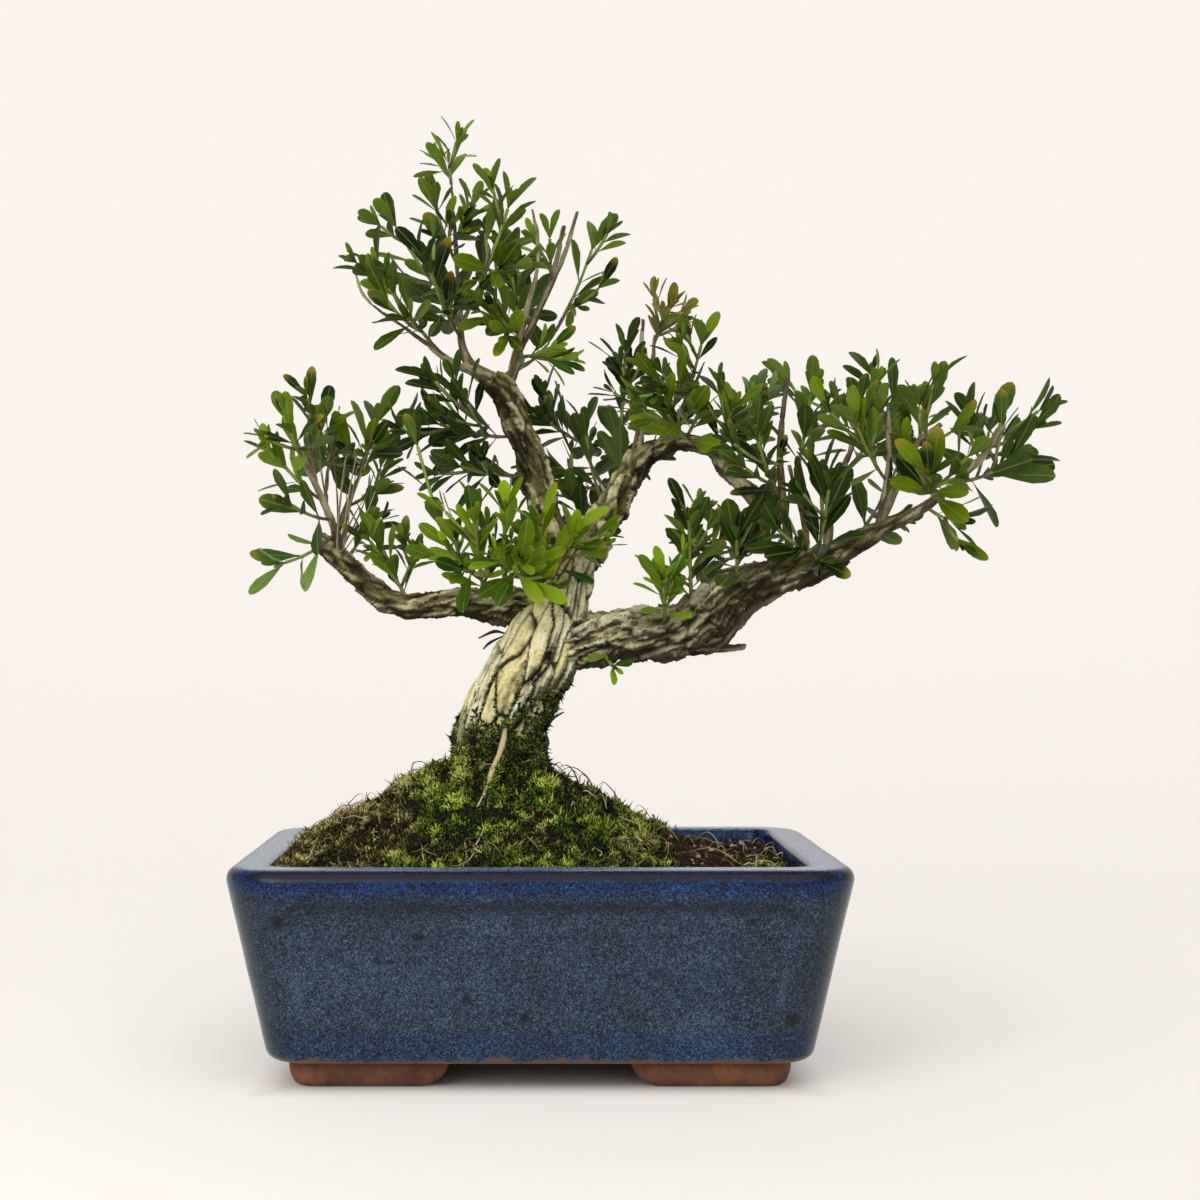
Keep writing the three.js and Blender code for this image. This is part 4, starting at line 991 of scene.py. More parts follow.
@dataclass
class Crown:
    """All the leafy sprays, grown by one rule: each stem bends clear of the others, and each leaf too."""

    sprays: Sequence[Spray]
    limbs: dict[str, tuple[Knot, ...]]
    growth: Growth = field(default_factory=Growth)
    room: Room = field(default_factory=Room)

    def __post_init__(self) -> None:
        """Starts the draws."""
        self.draw = self.growth.draws()

    def between(self, low: float, high: float) -> float:
        """The next draw, from low to high."""
        return lerp(low, high, next(self.draw))

    def grow(self) -> list[list[Shoot]]:
        """Grows every spray's stems, and then the leaves on them.

        Returns:
            Each spray's shoots.
        """
        shoots = [self.stems(number, spray) for number, spray in enumerate(self.sprays)]
        for points in self.limbs.values():
            line = Centreline(points)
            count = 2 * (len(points) - 1)
            places = [i / count for i in range(count + 1)]
            boxes = self.tube_boxes(line, places, lambda t: self.growth.bark_bulge * line.radius(t))
            self.room.take(boxes, -1)
        for number, spray in enumerate(self.sprays):
            for shoot in shoots[number]:
                self.leaf_out(number, spray, shoot, shoot.stations[2:], self.between(0, math.pi))
        return shoots

    def stem_half(self, t: float) -> float:
        """Half the thickness of a green stem at a fraction of its length."""
        return lerp(*self.growth.stem_half, t)

    def tube_boxes(
        self, curve: Route, places: Sequence[float], radius: Callable[[float], float]
    ) -> list[Box]:
        """Boxes round a curve, one for each stretch between the places.

        Args:
            curve: The curve.
            places: Where the stretches meet, from 0 to 1.
            radius: Half the curve's thickness at a place.

        Returns:
            The boxes.
        """
        points = [curve.point(t) for t in places]
        radii = [radius(t) for t in places]
        steps = range(len(places) - 1)
        return [Box.stretch(points[i], points[i + 1], max(radii[i], radii[i + 1])) for i in steps]

    def stems(self, number: int, spray: Spray) -> list[Shoot]:
        """The stems of one spray, each bent clear of the other sprays.

        Args:
            number: The spray's number.
            spray: The spray.

        Returns:
            Its shoots, still bare.
        """
        growth = self.growth
        line = Centreline(self.limbs[spray.limb])
        shoots: list[Shoot] = []
        for x, y, z, pairs in spray.stems:
            start = shoots[0].curve.point(growth.shoot_at) if shoots else line.point(spray.at)
            end = np.array((x, y, z), float)
            in_bark = (line.radius(spray.at) + growth.clear_of_bark) / np.linalg.norm(end - start)
            bare = growth.shoot_bare if shoots else max(growth.least_bare, in_bark)
            nodes = [lerp(bare, 1, i / (pairs - 1)) for i in range(pairs)] if pairs > 1 else [1.0]
            stations = [0.0, bare / 2, *nodes]
            bows = [Bow(start, end, *bow) for bow in growth.bows]
            others = self.room.owners == number
            tries = (bow for bow in bows if self.room.is_clear(self.stem_boxes(bow, stations[1:]), others))
            curve = next(tries, bows[0])
            self.room.take(self.stem_boxes(curve, stations), number)
            shoots.append(Shoot(curve, stations))
        return shoots

    def stem_boxes(self, curve: Bow, places: Sequence[float]) -> list[Box]:
        """Boxes round a green stem."""
        return self.tube_boxes(curve, places, self.stem_half)

    def leaf_out(
        self, number: int, spray: Spray, shoot: Shoot, nodes: Sequence[float], turn: float,
        limits: tuple[Array, Array] | None = None,
    ) -> None:
        """Sets opposite leaves at the nodes of a shoot, each pair about a quarter turn from the last.

        Args:
            number: The spray's number.
            spray: The spray that they grow in.
            shoot: The shoot.
            nodes: Where on it they grow.
            turn: The direction before the first pair's, in radians.
            limits: The corners between which smaller leaves fill the spray out, left out for its own leaves.
        """
        for i, t in enumerate(nodes):
            turn += math.pi / 2 + self.between(*self.growth.turn_draw)
            share = t if limits else i / (len(nodes) - 1) if len(nodes) > 1 else 1.0
            for side in (0, math.pi):
                scale = self.between(*self.growth.fill_size) if limits else 1.0
                leaf = self.one_leaf(number, spray, shoot.curve, t, share, turn + side, scale)
                if leaf and (not limits or within(leaf.tip(), *limits)):
                    shoot.leaves.append(leaf)
                    self.room.take(leaf.boxes(), number, True)
        shoot.turn = turn

    def one_leaf(
        self, number: int, spray: Spray, curve: Bow, t: float, share: float, turn: float, scale: float
    ) -> Leaf | None:
        """A leaf in the first attitude that is clear.

        Args:
            number: The spray's number.
            spray: The spray that it grows in.
            curve: Its stem.
            t: Where on the stem it grows.
            share: How far along the stem's leafy stretch that is.
            turn: Its direction round the stem, in radians.
            scale: Its length next to the spray's usual one.

        Returns:
            The leaf, or nothing where no attitude is clear.
        """
        growth = self.growth
        opened = math.radians(lerp(*growth.open_angle, share) + self.between(*growth.open_draw))
        length = scale * spray.leaf * lerp(*growth.length_share, share) * self.between(*growth.length_draw)
        width = LEAF_WIDTH[spray.age] * self.between(*growth.width_draw)
        bend = self.between(*growth.bend_draw)
        root, direction = curve.point(t), curve.direction(t)
        own_stem = (self.room.owners == number) & ~self.room.leaves
        for extra_open, extra_turn, size in growth.attitudes:
            angle = opened + math.radians(extra_open)
            turned = turn + math.radians(extra_turn)
            leaf = set_leaf(root, direction, turned, angle, length * size, width, bend)
            if self.room.is_clear(leaf.boxes(), own_stem):
                return leaf
        return None

    def fill(self, number: int, spray: Spray, shoots: list[Shoot], low: Array, high: Array) -> None:
        """Fills a spray out, within its box: leaves between its nodes, and short leafy side shoots.

        Args:
            number: The spray's number.
            spray: The spray.
            shoots: Its shoots, which the new ones join.
            low: The lowest corner of the spray's box in mm.
            high: Its highest corner.
        """
        growth = self.growth
        if spray.name in growth.spare_sprays:
            return
        self.room.clearance = growth.fill_clearance
        limits = (low - growth.fill_reach, high + growth.fill_reach)
        is_open = spray.name.split("_")[0] in growth.open_sprays
        for shoot in list(shoots):
            nodes = shoot.stations[2:]
            between = [(a + b) / 2 for a, b in zip(nodes, nodes[1:])][::1 + is_open]
            self.leaf_out(number, spray, shoot, between, shoot.turn + math.pi / 4, limits)
            for at in growth.side_at[::1 + 2 * is_open]:
                start, ahead = shoot.curve.point(at), shoot.curve.direction(at)
                turn, angle = self.between(0, 2 * math.pi), math.radians(self.between(*growth.side_angle))
                outward = sideways(ahead, turn)
                heading = unit(ahead * math.cos(angle) + outward * math.sin(angle) + growth.side_lift * UP)
                end = start + heading * spray.leaf * self.between(*growth.side_length)
                side = Shoot(Bow(start, end, 0.1, 0.0), [0.0, 0.2, *growth.side_nodes])
                own = self.room.owners == number
                boxes = self.stem_boxes(side.curve, side.stations[1:])
                if within(end, low, high) and self.room.is_clear(boxes, own):
                    self.room.take(self.stem_boxes(side.curve, side.stations), number)
                    self.leaf_out(number, spray, side, growth.side_nodes, turn, limits)
                    shoots.append(side)


def set_leaf(
    root: Array, direction: Array, turn: float, opened: float, length: float, width: float,
    bend: float,
) -> Leaf:
    """A leaf on a stem.

    Args:
        root: Where it grows.
        direction: The stem's direction there.
        turn: The leaf's direction round the stem, in radians.
        opened: How far it stands off the stem, in radians.
        length: Its length in mm.
        width: Its width as a share of its length.
        bend: How far its tip bends back, as a share of its length.

    Returns:
        The leaf.
    """
    outward = sideways(direction, turn)
    along = direction * math.cos(opened) + outward * math.sin(opened)
    face = direction * math.sin(opened) - outward * math.cos(opened)
    return Leaf(root, along, np.cross(face, along), face, length, width * length, bend)


@dataclass
class Foliage:
    """The leafy sprays as fine meshes: thin folded blades on round green stems."""

    bench: Bench
    sprays: Sequence[Spray]
    limbs: dict[str, tuple[Knot, ...]]
    rows: tuple[float, ...] = (0.0, 0.16, 0.42, 0.66, 0.86, 0.96, 1.0)
    outline: tuple[float, ...] = (0.1, 0.18, 0.7, 1.0, 0.82, 0.48, 0.16)
    tip_drop: tuple[float, ...] = (0.012, 0.003, 0.0, 0.003, 0.012)
    slim: float = 0.94
    thickness: float = 0.34
    fold: Pair = (0.05, 0.36)
    wave: float = 0.12
    margin_angle: float = 55
    stem_sides: int = 5
    stem_steps: int = 5
    stem_girth: float = 1.0
    node_swell: float = 0.3
    bud_sizes: tuple[float, ...] = (0.5, 0.3)
    bud_open: tuple[float, ...] = (24, 9)
    bud_slimness: float = 0.9
    seed: int = 404

    def build(self) -> None:
        """Grows the sprays and models each one as a piece."""
        blade = self.blade()
        draws = np.random.default_rng(self.seed)
        finishes = {age: LEAF_TONES[age].make() for age in LeafTone}
        stalk = GreenStem().make()
        crown = Crown(self.sprays, self.limbs)
        grown = crown.grow()
        for number, (spray, shoots) in enumerate(zip(self.sprays, grown)):
            low, high = (self.bench.millimetres(np.array(corner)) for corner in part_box("spray_" + spray.name))
            crown.fill(number, spray, shoots, low, high)
            heap = Heap()
            for shoot in shoots:
                self.stem(heap, shoot, draws)
                for leaf in shoot.leaves + self.buds(spray, shoot):
                    self.leaf(heap, blade, leaf, draws)
            piece = heap.build(self.bench, "foliage_" + spray.name)
            node, slot = "spray_" + spray.name, "leaf_" + spray.age.value
            self.bench.hand_over(piece, slot, (*finishes[spray.age], stalk), (node,), angle=self.margin_angle)

    def blade(self) -> tuple[Array, list[list[int]], list[int]]:
        """Models one flat blade: a grid, shaped row by row, with a second face mirrored under it.

        Returns:
            Its points as share of the length, half widths across and thicknesses above; its faces; and the
            side of each face, 0 for the top and 1 for the back.
        """
        self.bench.take_up()
        columns, rows = len(self.tip_drop) - 1, len(self.rows) - 1
        bpy.ops.mesh.primitive_grid_add(x_subdivisions=columns, y_subdivisions=rows, size=2)
        piece = bpy.context.object
        for vertex in piece.data.vertices:
            row, column = round((vertex.co.y + 1) / 2 * rows), round((vertex.co.x + 1) / 2 * columns)
            drop = self.tip_drop[column] * (row == rows)
            is_inside = 0 < row < rows and 0 < column < columns
            vertex.co = (vertex.co.x * self.outline[row], self.rows[row] - drop, 0.5 if is_inside else 0.0)
        bpy.ops.object.mode_set(mode="EDIT")
        bpy.ops.mesh.select_all(action="SELECT")
        bpy.ops.mesh.duplicate()
        bpy.ops.transform.resize(value=(1, 1, -1), center_override=(0, 0, 0))
        bpy.ops.mesh.select_all(action="SELECT")
        bpy.ops.mesh.remove_doubles(threshold=0.001)
        self.bench.face_out()
        points = np.array([vertex.co for vertex in piece.data.vertices])
        faces = [list(face.vertices) for face in piece.data.polygons]
        sides = [int(face.normal.z < 0) for face in piece.data.polygons]
        bpy.data.objects.remove(piece)
        return points, faces, sides

    def leaf(self, heap: Heap, blade: tuple, leaf: Leaf, draws: np.random.Generator) -> None:
        """Adds one leaf, folded along its midrib and a little waved.

        Args:
            heap: What it is added to.
            blade: The flat blade, as modelled.
            leaf: The leaf.
            draws: What its fold and tone are drawn from.
        """
        points, faces, sides = blade
        across, share, above = points.T
        half = self.slim * leaf.width / 2
        fold = draws.uniform(*self.fold) * half * np.abs(across) ** 1.4
        wave = draws.uniform(-self.wave, self.wave) * half * across * np.sin(5 * share + draws.uniform(0, 6))
        lift = above * self.thickness + (fold + wave) * smooth_step(0.0, 0.3, share)
        notes = {"tone": draws.uniform(), "spot": draws.uniform(), "along": share, "across": across}
        heap.put(leaf.place(share, self.slim * across, lift), faces, sides, **notes)

    def buds(self, spray: Spray, shoot: Shoot) -> list[Leaf]:
        """The small unopened pairs at a shoot's tip.

        Args:
            spray: The spray.
            shoot: The shoot.

        Returns:
            The buds, as small leaves.
        """
        root, direction = shoot.curve.point(1), shoot.curve.direction(1)
        buds = []
        for i, size in enumerate(self.bud_sizes):
            turn = shoot.turn + (i + 1) * math.pi / 2
            for side in (0, math.pi):
                opened = math.radians(self.bud_open[i])
                length, width = size * spray.leaf, LEAF_WIDTH[spray.age] * self.bud_slimness
                buds.append(set_leaf(root, direction, turn + side, opened, length, width, 0.02))
        return buds

    def stem(self, heap: Heap, shoot: Shoot, draws: np.random.Generator) -> None:
        """Adds a shoot's green stem, a little swollen where leaves grow.

        Args:
            heap: What it is added to.
            shoot: The shoot.
            draws: What its tone is drawn from.
        """
        places = sorted({*np.linspace(0, 1, self.stem_steps).tolist(), *shoot.stations})
        path = np.array([shoot.curve.point(t) for t in places])
        nodes = np.array(shoot.stations[2:])
        radii = []
        for t in places:
            swell = 1 + self.node_swell * math.exp(-((np.abs(nodes - t).min() / 0.03) ** 2))
            radii.append(np.full(self.stem_sides, self.stem_girth * lerp(*Growth().stem_half, t) * swell))
        points, faces = Tube(path, radii, self.stem_sides).build()
        along = np.repeat(places, self.stem_sides)
        heap.put(points, faces, 2, tone=draws.uniform(), spot=0.0, along=along, across=0.0)


@dataclass
class Timber:
    """The tree's wood: limbs swept along their centrelines, grown together, and their bark cracked in plates.

    The bark is laid out on each limb as if it were straight, so plates run along the limb and turn with it.
    """

    bench: Bench
    limbs: dict[str, tuple[Knot, ...]]
    name: str
    members: tuple[str, ...]
    voxel: float
    plate: Point = (7.5, 7.5, 27.0)
    twist: float = -0.009
    crack_edge: Pair = (0.02, 0.075)
    crack_depth: float = 1.9
    crack_tone: float = 1.0
    plate_step: float = 1.3
    bulge: float = 1.0
    step_edge: float = 0.14
    shag: float = 0.6
    ridge: float = 0.0
    knob: float = 0.07
    knob_size: float = 13.0
    twig_slimness: float = 0.74
    twig_radii: Pair = (2.4, 4.4)
    full_girth: float = 12.0
    gloom: float = 0.0
    sides: int = 20
    apart: float = 200.0
    batch: int = 8000

    def build(self, finishes: Sequence[Finish], replaces: Sequence[str]) -> Piece:
        """Models the wood and hands it over.

        Args:
            finishes: Its materials.
            replaces: The CAD nodes that it stands for.

        Returns:
            The piece.
        """
        self.bench.take_up()
        piece = self.bench.join([self.sweep(name) for name in self.members], self.name)
        self.bench.apply(piece, "REMESH", mode="VOXEL", voxel_size=self.voxel / 1000, adaptivity=0.0)
        self.crack(piece)
        self.bench.hand_over(piece, "bark", finishes, replaces)
        return piece

    def sweep(self, name: str) -> Piece:
        """Draws a limb's centreline as a curve with its radii and makes it a closed tube.

        Args:
            name: The limb.

        Returns:
            The tube.
        """
        line = Centreline(self.limbs[name])
        count = 6 * (len(line.radii) - 1)
        bpy.ops.curve.primitive_bezier_curve_add()
        curve = bpy.context.object
        curve.data.splines.clear()
        spline = curve.data.splines.new("POLY")
        spline.points.add(count)
        for i, point in enumerate(spline.points):
            radius = line.radius(i / count)
            slim = lerp(self.twig_slimness, 1.0, float(smooth_step(*self.twig_radii, radius)))
            point.co = (*self.bench.metres(line.point(i / count)), 1.0)
            point.radius = radius * slim
        curve.data.dimensions = "3D"
        curve.data.bevel_depth = 0.001
        curve.data.bevel_resolution = self.sides // 4
        curve.data.use_fill_caps = True
        curve.location = (0, 0, 0)
        self.bench.take_up(curve)
        bpy.ops.object.convert(target="MESH")
        return bpy.context.object

    def straighten(self, points: Array) -> tuple[Array, Array]:
        """Points as they would lie if their limb stood straight up at the middle.

        Args:
            points: Points on the wood, in mm.

        Returns:
            Their places along the straight limb, and the limb's radius at each.
        """
        centres, axes, radii, alongs = [], [], [], []
        for number, name in enumerate(self.members):
            line = Centreline(self.limbs[name])
            count = 8 * (len(line.radii) - 1)
            places = np.arange(count + 1) / count
            stations = np.array([line.point(t) for t in places])
            steps = np.linalg.norm(np.diff(stations, axis=0), axis=1)
            centres.append(stations)
            axes.append([(*cross_axes(line.direction(t)), line.direction(t)) for t in places])
            radii.append([line.radius(t) for t in places])
            alongs.append(np.concatenate([[0], np.cumsum(steps)]) + self.apart * number)
        centre, frames = np.concatenate(centres), np.concatenate(axes)
        radius, along = np.concatenate(radii), np.concatenate(alongs)
        nearest = np.empty(len(points), int)
        for start in range(0, len(points), self.batch):
            part = points[start:start + self.batch]
            gaps = np.linalg.norm(part[:, None, :] - centre[None], axis=2) - radius
            nearest[start:start + self.batch] = gaps.argmin(axis=1)
        offset = np.einsum("nk,nik->ni", points - centre[nearest], frames[nearest])
        turn = np.arctan2(offset[:, 1], offset[:, 0]) + self.twist * along[nearest]
        reach = radius[nearest]
        place = np.stack([reach * np.cos(turn), reach * np.sin(turn), along[nearest] + offset[:, 2]], axis=1)
        return place, reach

    def crack(self, piece: Piece) -> None:
        """Raises the bark in plates with cracks between them, and keeps what the finish needs to know.

        Args:
            piece: The wood.
        """
        points, normals = self.bench.points(piece), self.bench.normals(piece)
        place, radius = self.straighten(points)
        bend = np.stack([ripple(place, (7, 7, 16), 2, salt) for salt in (1, 2, 3)], axis=1) * (1.2, 1.2, 3)
        edge, owner = crackle(place + bend, self.plate, 5)
        small_edge, small_owner = crackle(place + 2 * bend, np.array(self.plate) * (0.4, 0.4, 0.45), 35)
        share = np.clip(radius / self.full_girth, 0.22, 1.0)
        crack = 1 - smooth_step(*self.crack_edge, edge)
        split = (1 - smooth_step(0.02, 0.12, small_edge)) * smooth_step(0.4, 0.7, owner)
        plate = (owner - 0.5) * self.plate_step * smooth_step(0.02, self.step_edge, edge)
        plate += self.bulge * (smooth_step(0.0, 0.35, edge) - 0.7)
        chip = (small_owner - 0.5) * 0.45 * self.plate_step * smooth_step(0.05, 0.3, small_edge)
        flake = ripple(place + 40, (2.2, 2.2, 7), 3, 9)
        grain = ripple(place, (0.9, 0.9, 6.0), 2, 15)
        ridges = (0.5 - np.abs(ripple(place, (3.4, 3.4, 17.0), 2, 27))) * self.ridge
        knobs = ripple(points, self.knob_size, 3, 21) * self.knob * radius
        rise = plate + chip - self.crack_depth * crack - 0.5 * split
        rise = rise + self.shag * flake + 0.14 * grain + ridges
        self.bench.set_points(piece, points + normals * (share * rise + knobs)[:, None])
        # Darker beside the cracks and where flakes, grain, ridges and chips sink: painted shade in the bark's
        # hollows; gloom moves the whole piece's darkening up or down
        valley = 1 - smooth_step(0.02, 0.24, edge)
        depth = self.gloom + 0.5 * valley - 0.9 * flake - 0.4 * grain - 0.4 * ridges - 0.5 * chip
        lean = self.bench.normals(piece)
        damp = smooth_step(18, 55, points[:, 0]) * smooth_step(-0.7, 0.4, ripple(points, 11.0, 2, 33))
        damp *= 0.85 * smooth_step(250, 225, points[:, 2])
        height = points[:, 2] + 8 * ripple(points, 9.0, 2, 31)
        thick = smooth_step(0.15, 0.5, share)
        self.bench.note(
            piece, crack=np.maximum(crack, 0.5 * split) * thick * self.crack_tone, plate=owner,
            flake=flake * 0.5 + 0.5, hollow=np.clip(depth, 0, 1) * thick, girth=radius,
            # Darker on the undersides: partly damp bark, partly painted shade
            under=smooth_step(0.15, -0.45, lean[:, 2]) * smooth_step(1.5, 5.0, radius),
            low=np.maximum(1 - smooth_step(138, 158, height), damp))


@dataclass(frozen=True)
class Section:
    """A rounded rectangle: its height, its half sizes and its corner radius."""

    z: float
    x: float
    y: float
    r: float
    LONG_CELLS: ClassVar[int] = 92
    SHORT_CELLS: ClassVar[int] = 66
    CORNER_CELLS: ClassVar[int] = 10

    def ring(self) -> Array:
        """Its points, as many and in the same order for every section.

        Returns:
            The points in mm.
        """
        points: list[Point] = []
        steps = range(self.CORNER_CELLS + 1)
        for quarter in range(4):
            points += [self.corner(quarter, step / self.CORNER_CELLS) for step in steps]
            cells = self.LONG_CELLS if quarter % 2 == 0 else self.SHORT_CELLS
            start, end = np.array(points[-1]), np.array(self.corner(quarter + 1, 0.0))
            points.extend(tuple(start + (end - start) * i / cells) for i in range(1, cells))
        return np.array(points)

    def corner(self, quarter: int, share: float) -> Point:
        """The point at a share of a corner's arc.

        Args:
            quarter: The corner, counted round from the back right one.
            share: How far along its arc, from 0 to 1.

        Returns:
            The point in mm.
        """
        side_x, side_y = ((1, 1), (-1, 1), (-1, -1), (1, -1))[quarter % 4]
        turn = (quarter + share) * math.pi / 2
        centre = (side_x * (self.x - self.r), side_y * (self.y - self.r))
        return centre[0] + self.r * math.cos(turn), centre[1] + self.r * math.sin(turn), self.z


@dataclass(frozen=True)
class PotForm:
    """The pot's driving sizes, and its outer and inner sections at any height."""

    height: float = 92.5
    foot: float = 11.5
    rim_half: Pair = (130.8, 99.0)
    base_half: Pair = (113.8, 82.0)
    rim_corner: float = 26.0
    base_corner: float = 20.0
    rim_width: float = 19.0
    floor_thickness: float = 8.0
    wall_at_floor: float = 8.0
    inner_corner: float = 11.0
    inner_fillet: float = 4.0

    @property
    def floor(self) -> float:
        """How high the pot's inner floor lies."""
        return self.foot + self.floor_thickness

    def rise(self, z: Array) -> Array:
        """How far up the outer wall a height is, from 0 at its foot to 1 at the rim."""
        return (z - self.foot) / (self.height - self.foot)

    def outer(self, z: float, inset: float = 0.0) -> Section:
        """The outer section at a height, drawn in by inset.

        Args:
            z: The height.
            inset: How far it is drawn in.

        Returns:
            The section.
        """
        rise = self.rise(z)
        x = lerp(self.base_half[0], self.rim_half[0], rise) - inset
        y = lerp(self.base_half[1], self.rim_half[1], rise) - inset
        return Section(z, x, y, lerp(self.base_corner, self.rim_corner, rise) - inset)

    def inner(self, z: float, inset: float = 0.0) -> Section:
        """The inner section at a height, drawn in by inset.

        Args:
            z: The height.
            inset: How far it is drawn in.

        Returns:
            The section.
        """
        low = self.outer(self.floor, self.wall_at_floor)
        rise = min((z - self.floor) / (self.height - self.floor), 1.0)
        x = lerp(low.x, self.rim_half[0] - self.rim_width, rise) - inset
        y = lerp(low.y, self.rim_half[1] - self.rim_width, rise) - inset
        return Section(z, x, y, self.inner_corner - inset)


@dataclass
class Pot:
    """The glazed body, with soft pressed panels on its four sides, and its bare clay feet."""

    bench: Bench
    form: PotForm
    low_edge: float = 3.2
    rim_radius: float = 7.0
    inner_edge: float = 2.4
    panel_depth: float = 1.5
    panel_low: float = 22.0
    panel_high: float = 76.0
    panel_inset_low: float = 19.0
    panel_inset_high: float = 26.0
    panel_corner: float = 10.0
    panel_soft: float = 2.4
    wall_step: float = 1.9
    rim_cells: int = 5
    inner_cells: int = 14
    warp: float = 0.35
    drain_radius: float = 11.0
    drain_at: float = 52.0
    drain_sides: int = 48
    drain_reach: float = 30.0
    foot_inset: float = 8.5
    foot_wall: float = 25.0
    foot_profile: tuple[Pair, ...] = (
        (0.0, 4.0), (1.0, 2.4), (2.5, 1.2), (6.0, 0.0), (12.5, 0.0))
    front_arch: Pair = (48.0, 37.0)
    side_arch: Pair = (31.0, 23.0)
    arch_bulge: float = 3.0
    arch_lip: float = 1.0
    arch_lip_height: float = 4.0
    clay_voxel: float = 1.9

    def build(self) -> None:
        """Models the body and the feet."""
        body, clay = self.body(), BareClay().make()
        glaze = MottledGlaze(tuple(self.bench.middle)).make()
        self.bench.hand_over(body, "glaze", [glaze], ("pot",), angle=40)
        self.bench.hand_over(self.feet(), "glaze", [clay])

    def body(self) -> Piece:
        """Throws the body as one skin, from under its floor up the outside, over the rim and down inside.

        Returns:
            The body.
        """
        form = self.form
        low = [(form.foot + a, b) for a, b in self.arc(self.low_edge, (0, 30, 60, 90))]
        high = [(form.height - b, a) for a, b in self.arc(self.rim_radius, (0, 13, 26, 39, 52, 65, 78, 90))]
        wall_low, wall_high = low[-1][0], high[0][0]
        count = round((wall_high - wall_low) / self.wall_step)
        wall = [(lerp(wall_low, wall_high, i / count), 0.0) for i in range(1, count)]
        rings = [form.outer(z, inset).ring() for z, inset in (*low, *wall, *high)]
        lip = [form.inner(form.height - a, -b) for a, b in self.arc(self.inner_edge, (0, 30, 60, 90))]
        rings += [lerp(rings[-1], lip[0].ring(), i / self.rim_cells) for i in range(1, self.rim_cells)]
        down = [form.inner(lerp(lip[-1].z, form.floor + form.inner_fillet, i / self.inner_cells))
                for i in range(1, self.inner_cells + 1)]
        fillet = [form.inner(form.floor + b, a) for a, b in self.arc(form.inner_fillet, (30, 60, 90))]
        rings += [section.ring() for section in (*lip, *down, *fillet)]
        piece = self.bench.loft("pot_body", rings)
        self.press(piece)
        self.drain(piece)
        return piece

    def arc(self, radius: float, angles: Sequence[float]) -> list[Pair]:
        """How far each point of a rounded edge is from its two ends' tangents, by its angle in degrees."""
        turns = [math.radians(angle) for angle in angles]
        return [(radius * (1 - math.cos(turn)), radius * (1 - math.sin(turn))) for turn in turns]

    def press(self, piece: Piece) -> None:
        """Presses the panels in, warps the walls a little as firing does, and marks them for the glaze.

        Args:
            piece: The body.
        """
        form = self.form
        points = self.bench.points(piece)
        height = points[:, 2]
        rise = form.rise(height)
        wall = (height > form.foot + self.low_edge - 0.1) & (height < form.height - self.rim_radius + 0.1)
        middle, tall = (self.panel_low + self.panel_high) / 2, (self.panel_high - self.panel_low) / 2
        share = (height - self.panel_low) / (self.panel_high - self.panel_low)
        depth = self.panel_depth * (0.25 + 0.75 * smooth_step(self.panel_low, middle, height))
        distance = np.full(len(points), 99.0)
        for axis in (0, 1):
            other = 1 - axis
            half = lerp(form.base_half[other], form.rim_half[other], rise)
            on_side = wall & (np.abs(points[:, other]) > half - 0.6)
            low = form.base_half[axis] - self.panel_inset_low
            high = form.rim_half[axis] - self.panel_inset_high
            reach = lerp(low, high, share)
            out_x = np.abs(points[:, axis]) - reach + self.panel_corner
            out_z = np.abs(height - middle) - tall + self.panel_corner
            outside = np.hypot(np.maximum(out_x, 0), np.maximum(out_z, 0))
            edge = outside + np.minimum(np.maximum(out_x, out_z), 0) - self.panel_corner
            pressed = on_side * (1 - smooth_step(-self.panel_soft, self.panel_soft, edge))
            points[:, other] -= np.sign(points[:, other]) * depth * pressed
            distance = np.where(on_side, edge, distance)
        wave = ripple(points, (60, 60, 30), 2, 51) * self.warp
        direction = points[:, :2] / np.maximum(np.linalg.norm(points[:, :2], axis=1, keepdims=True), 1e-6)
        points[:, :2] -= direction * np.abs(wave)[:, None]
        self.bench.set_points(piece, points)
        flat = np.abs(points[:, :2])
        from_edge = (np.array(form.rim_half) - flat).min(axis=1)
        corner = [lerp(form.base_half[axis], form.rim_half[axis], rise) - flat[:, axis] for axis in (0, 1)]
        top = (height > form.height - 0.5) * (from_edge < form.rim_width)
        above, below = height - self.panel_high, height - self.panel_low
        self.bench.note(
            # A painted shade line along the top of each pressed panel
            piece, panel_top=bell(distance - 2.0, 2.6) * smooth_step(-6, -1, above),
            # A painted highlight down the sides of each panel
            panel_side=bell(distance, 0.9) * smooth_step(-4, -9, above) * smooth_step(4, 24, below),
            lip=bell(height - form.height + 2.3, 1.9) * (from_edge < self.rim_radius),
            # The rim's top, painted paler: partly its own glaze, partly a painted reflection
            top=top * smooth_step(self.rim_radius - 3, self.rim_radius + 1, from_edge),
            corner=bell(np.hypot(*corner) - 6, 10) * wall)

    def drain(self, piece: Piece) -> None:
        """Bores the two drain holes through the floor.

        Args:
            piece: The body.
        """
        for side in (-1, 1):
            x, _, z = self.bench.metres(np.array((side * self.drain_at, 0.0, self.form.foot + 4)))
            place = (x, self.bench.middle[1], z)
            self.bench.take_up()
            bpy.ops.mesh.primitive_cylinder_add(
                vertices=self.drain_sides, radius=self.drain_radius / 1000, depth=self.drain_reach / 1000,
                location=place)
            self.bench.cut(piece, bpy.context.object)

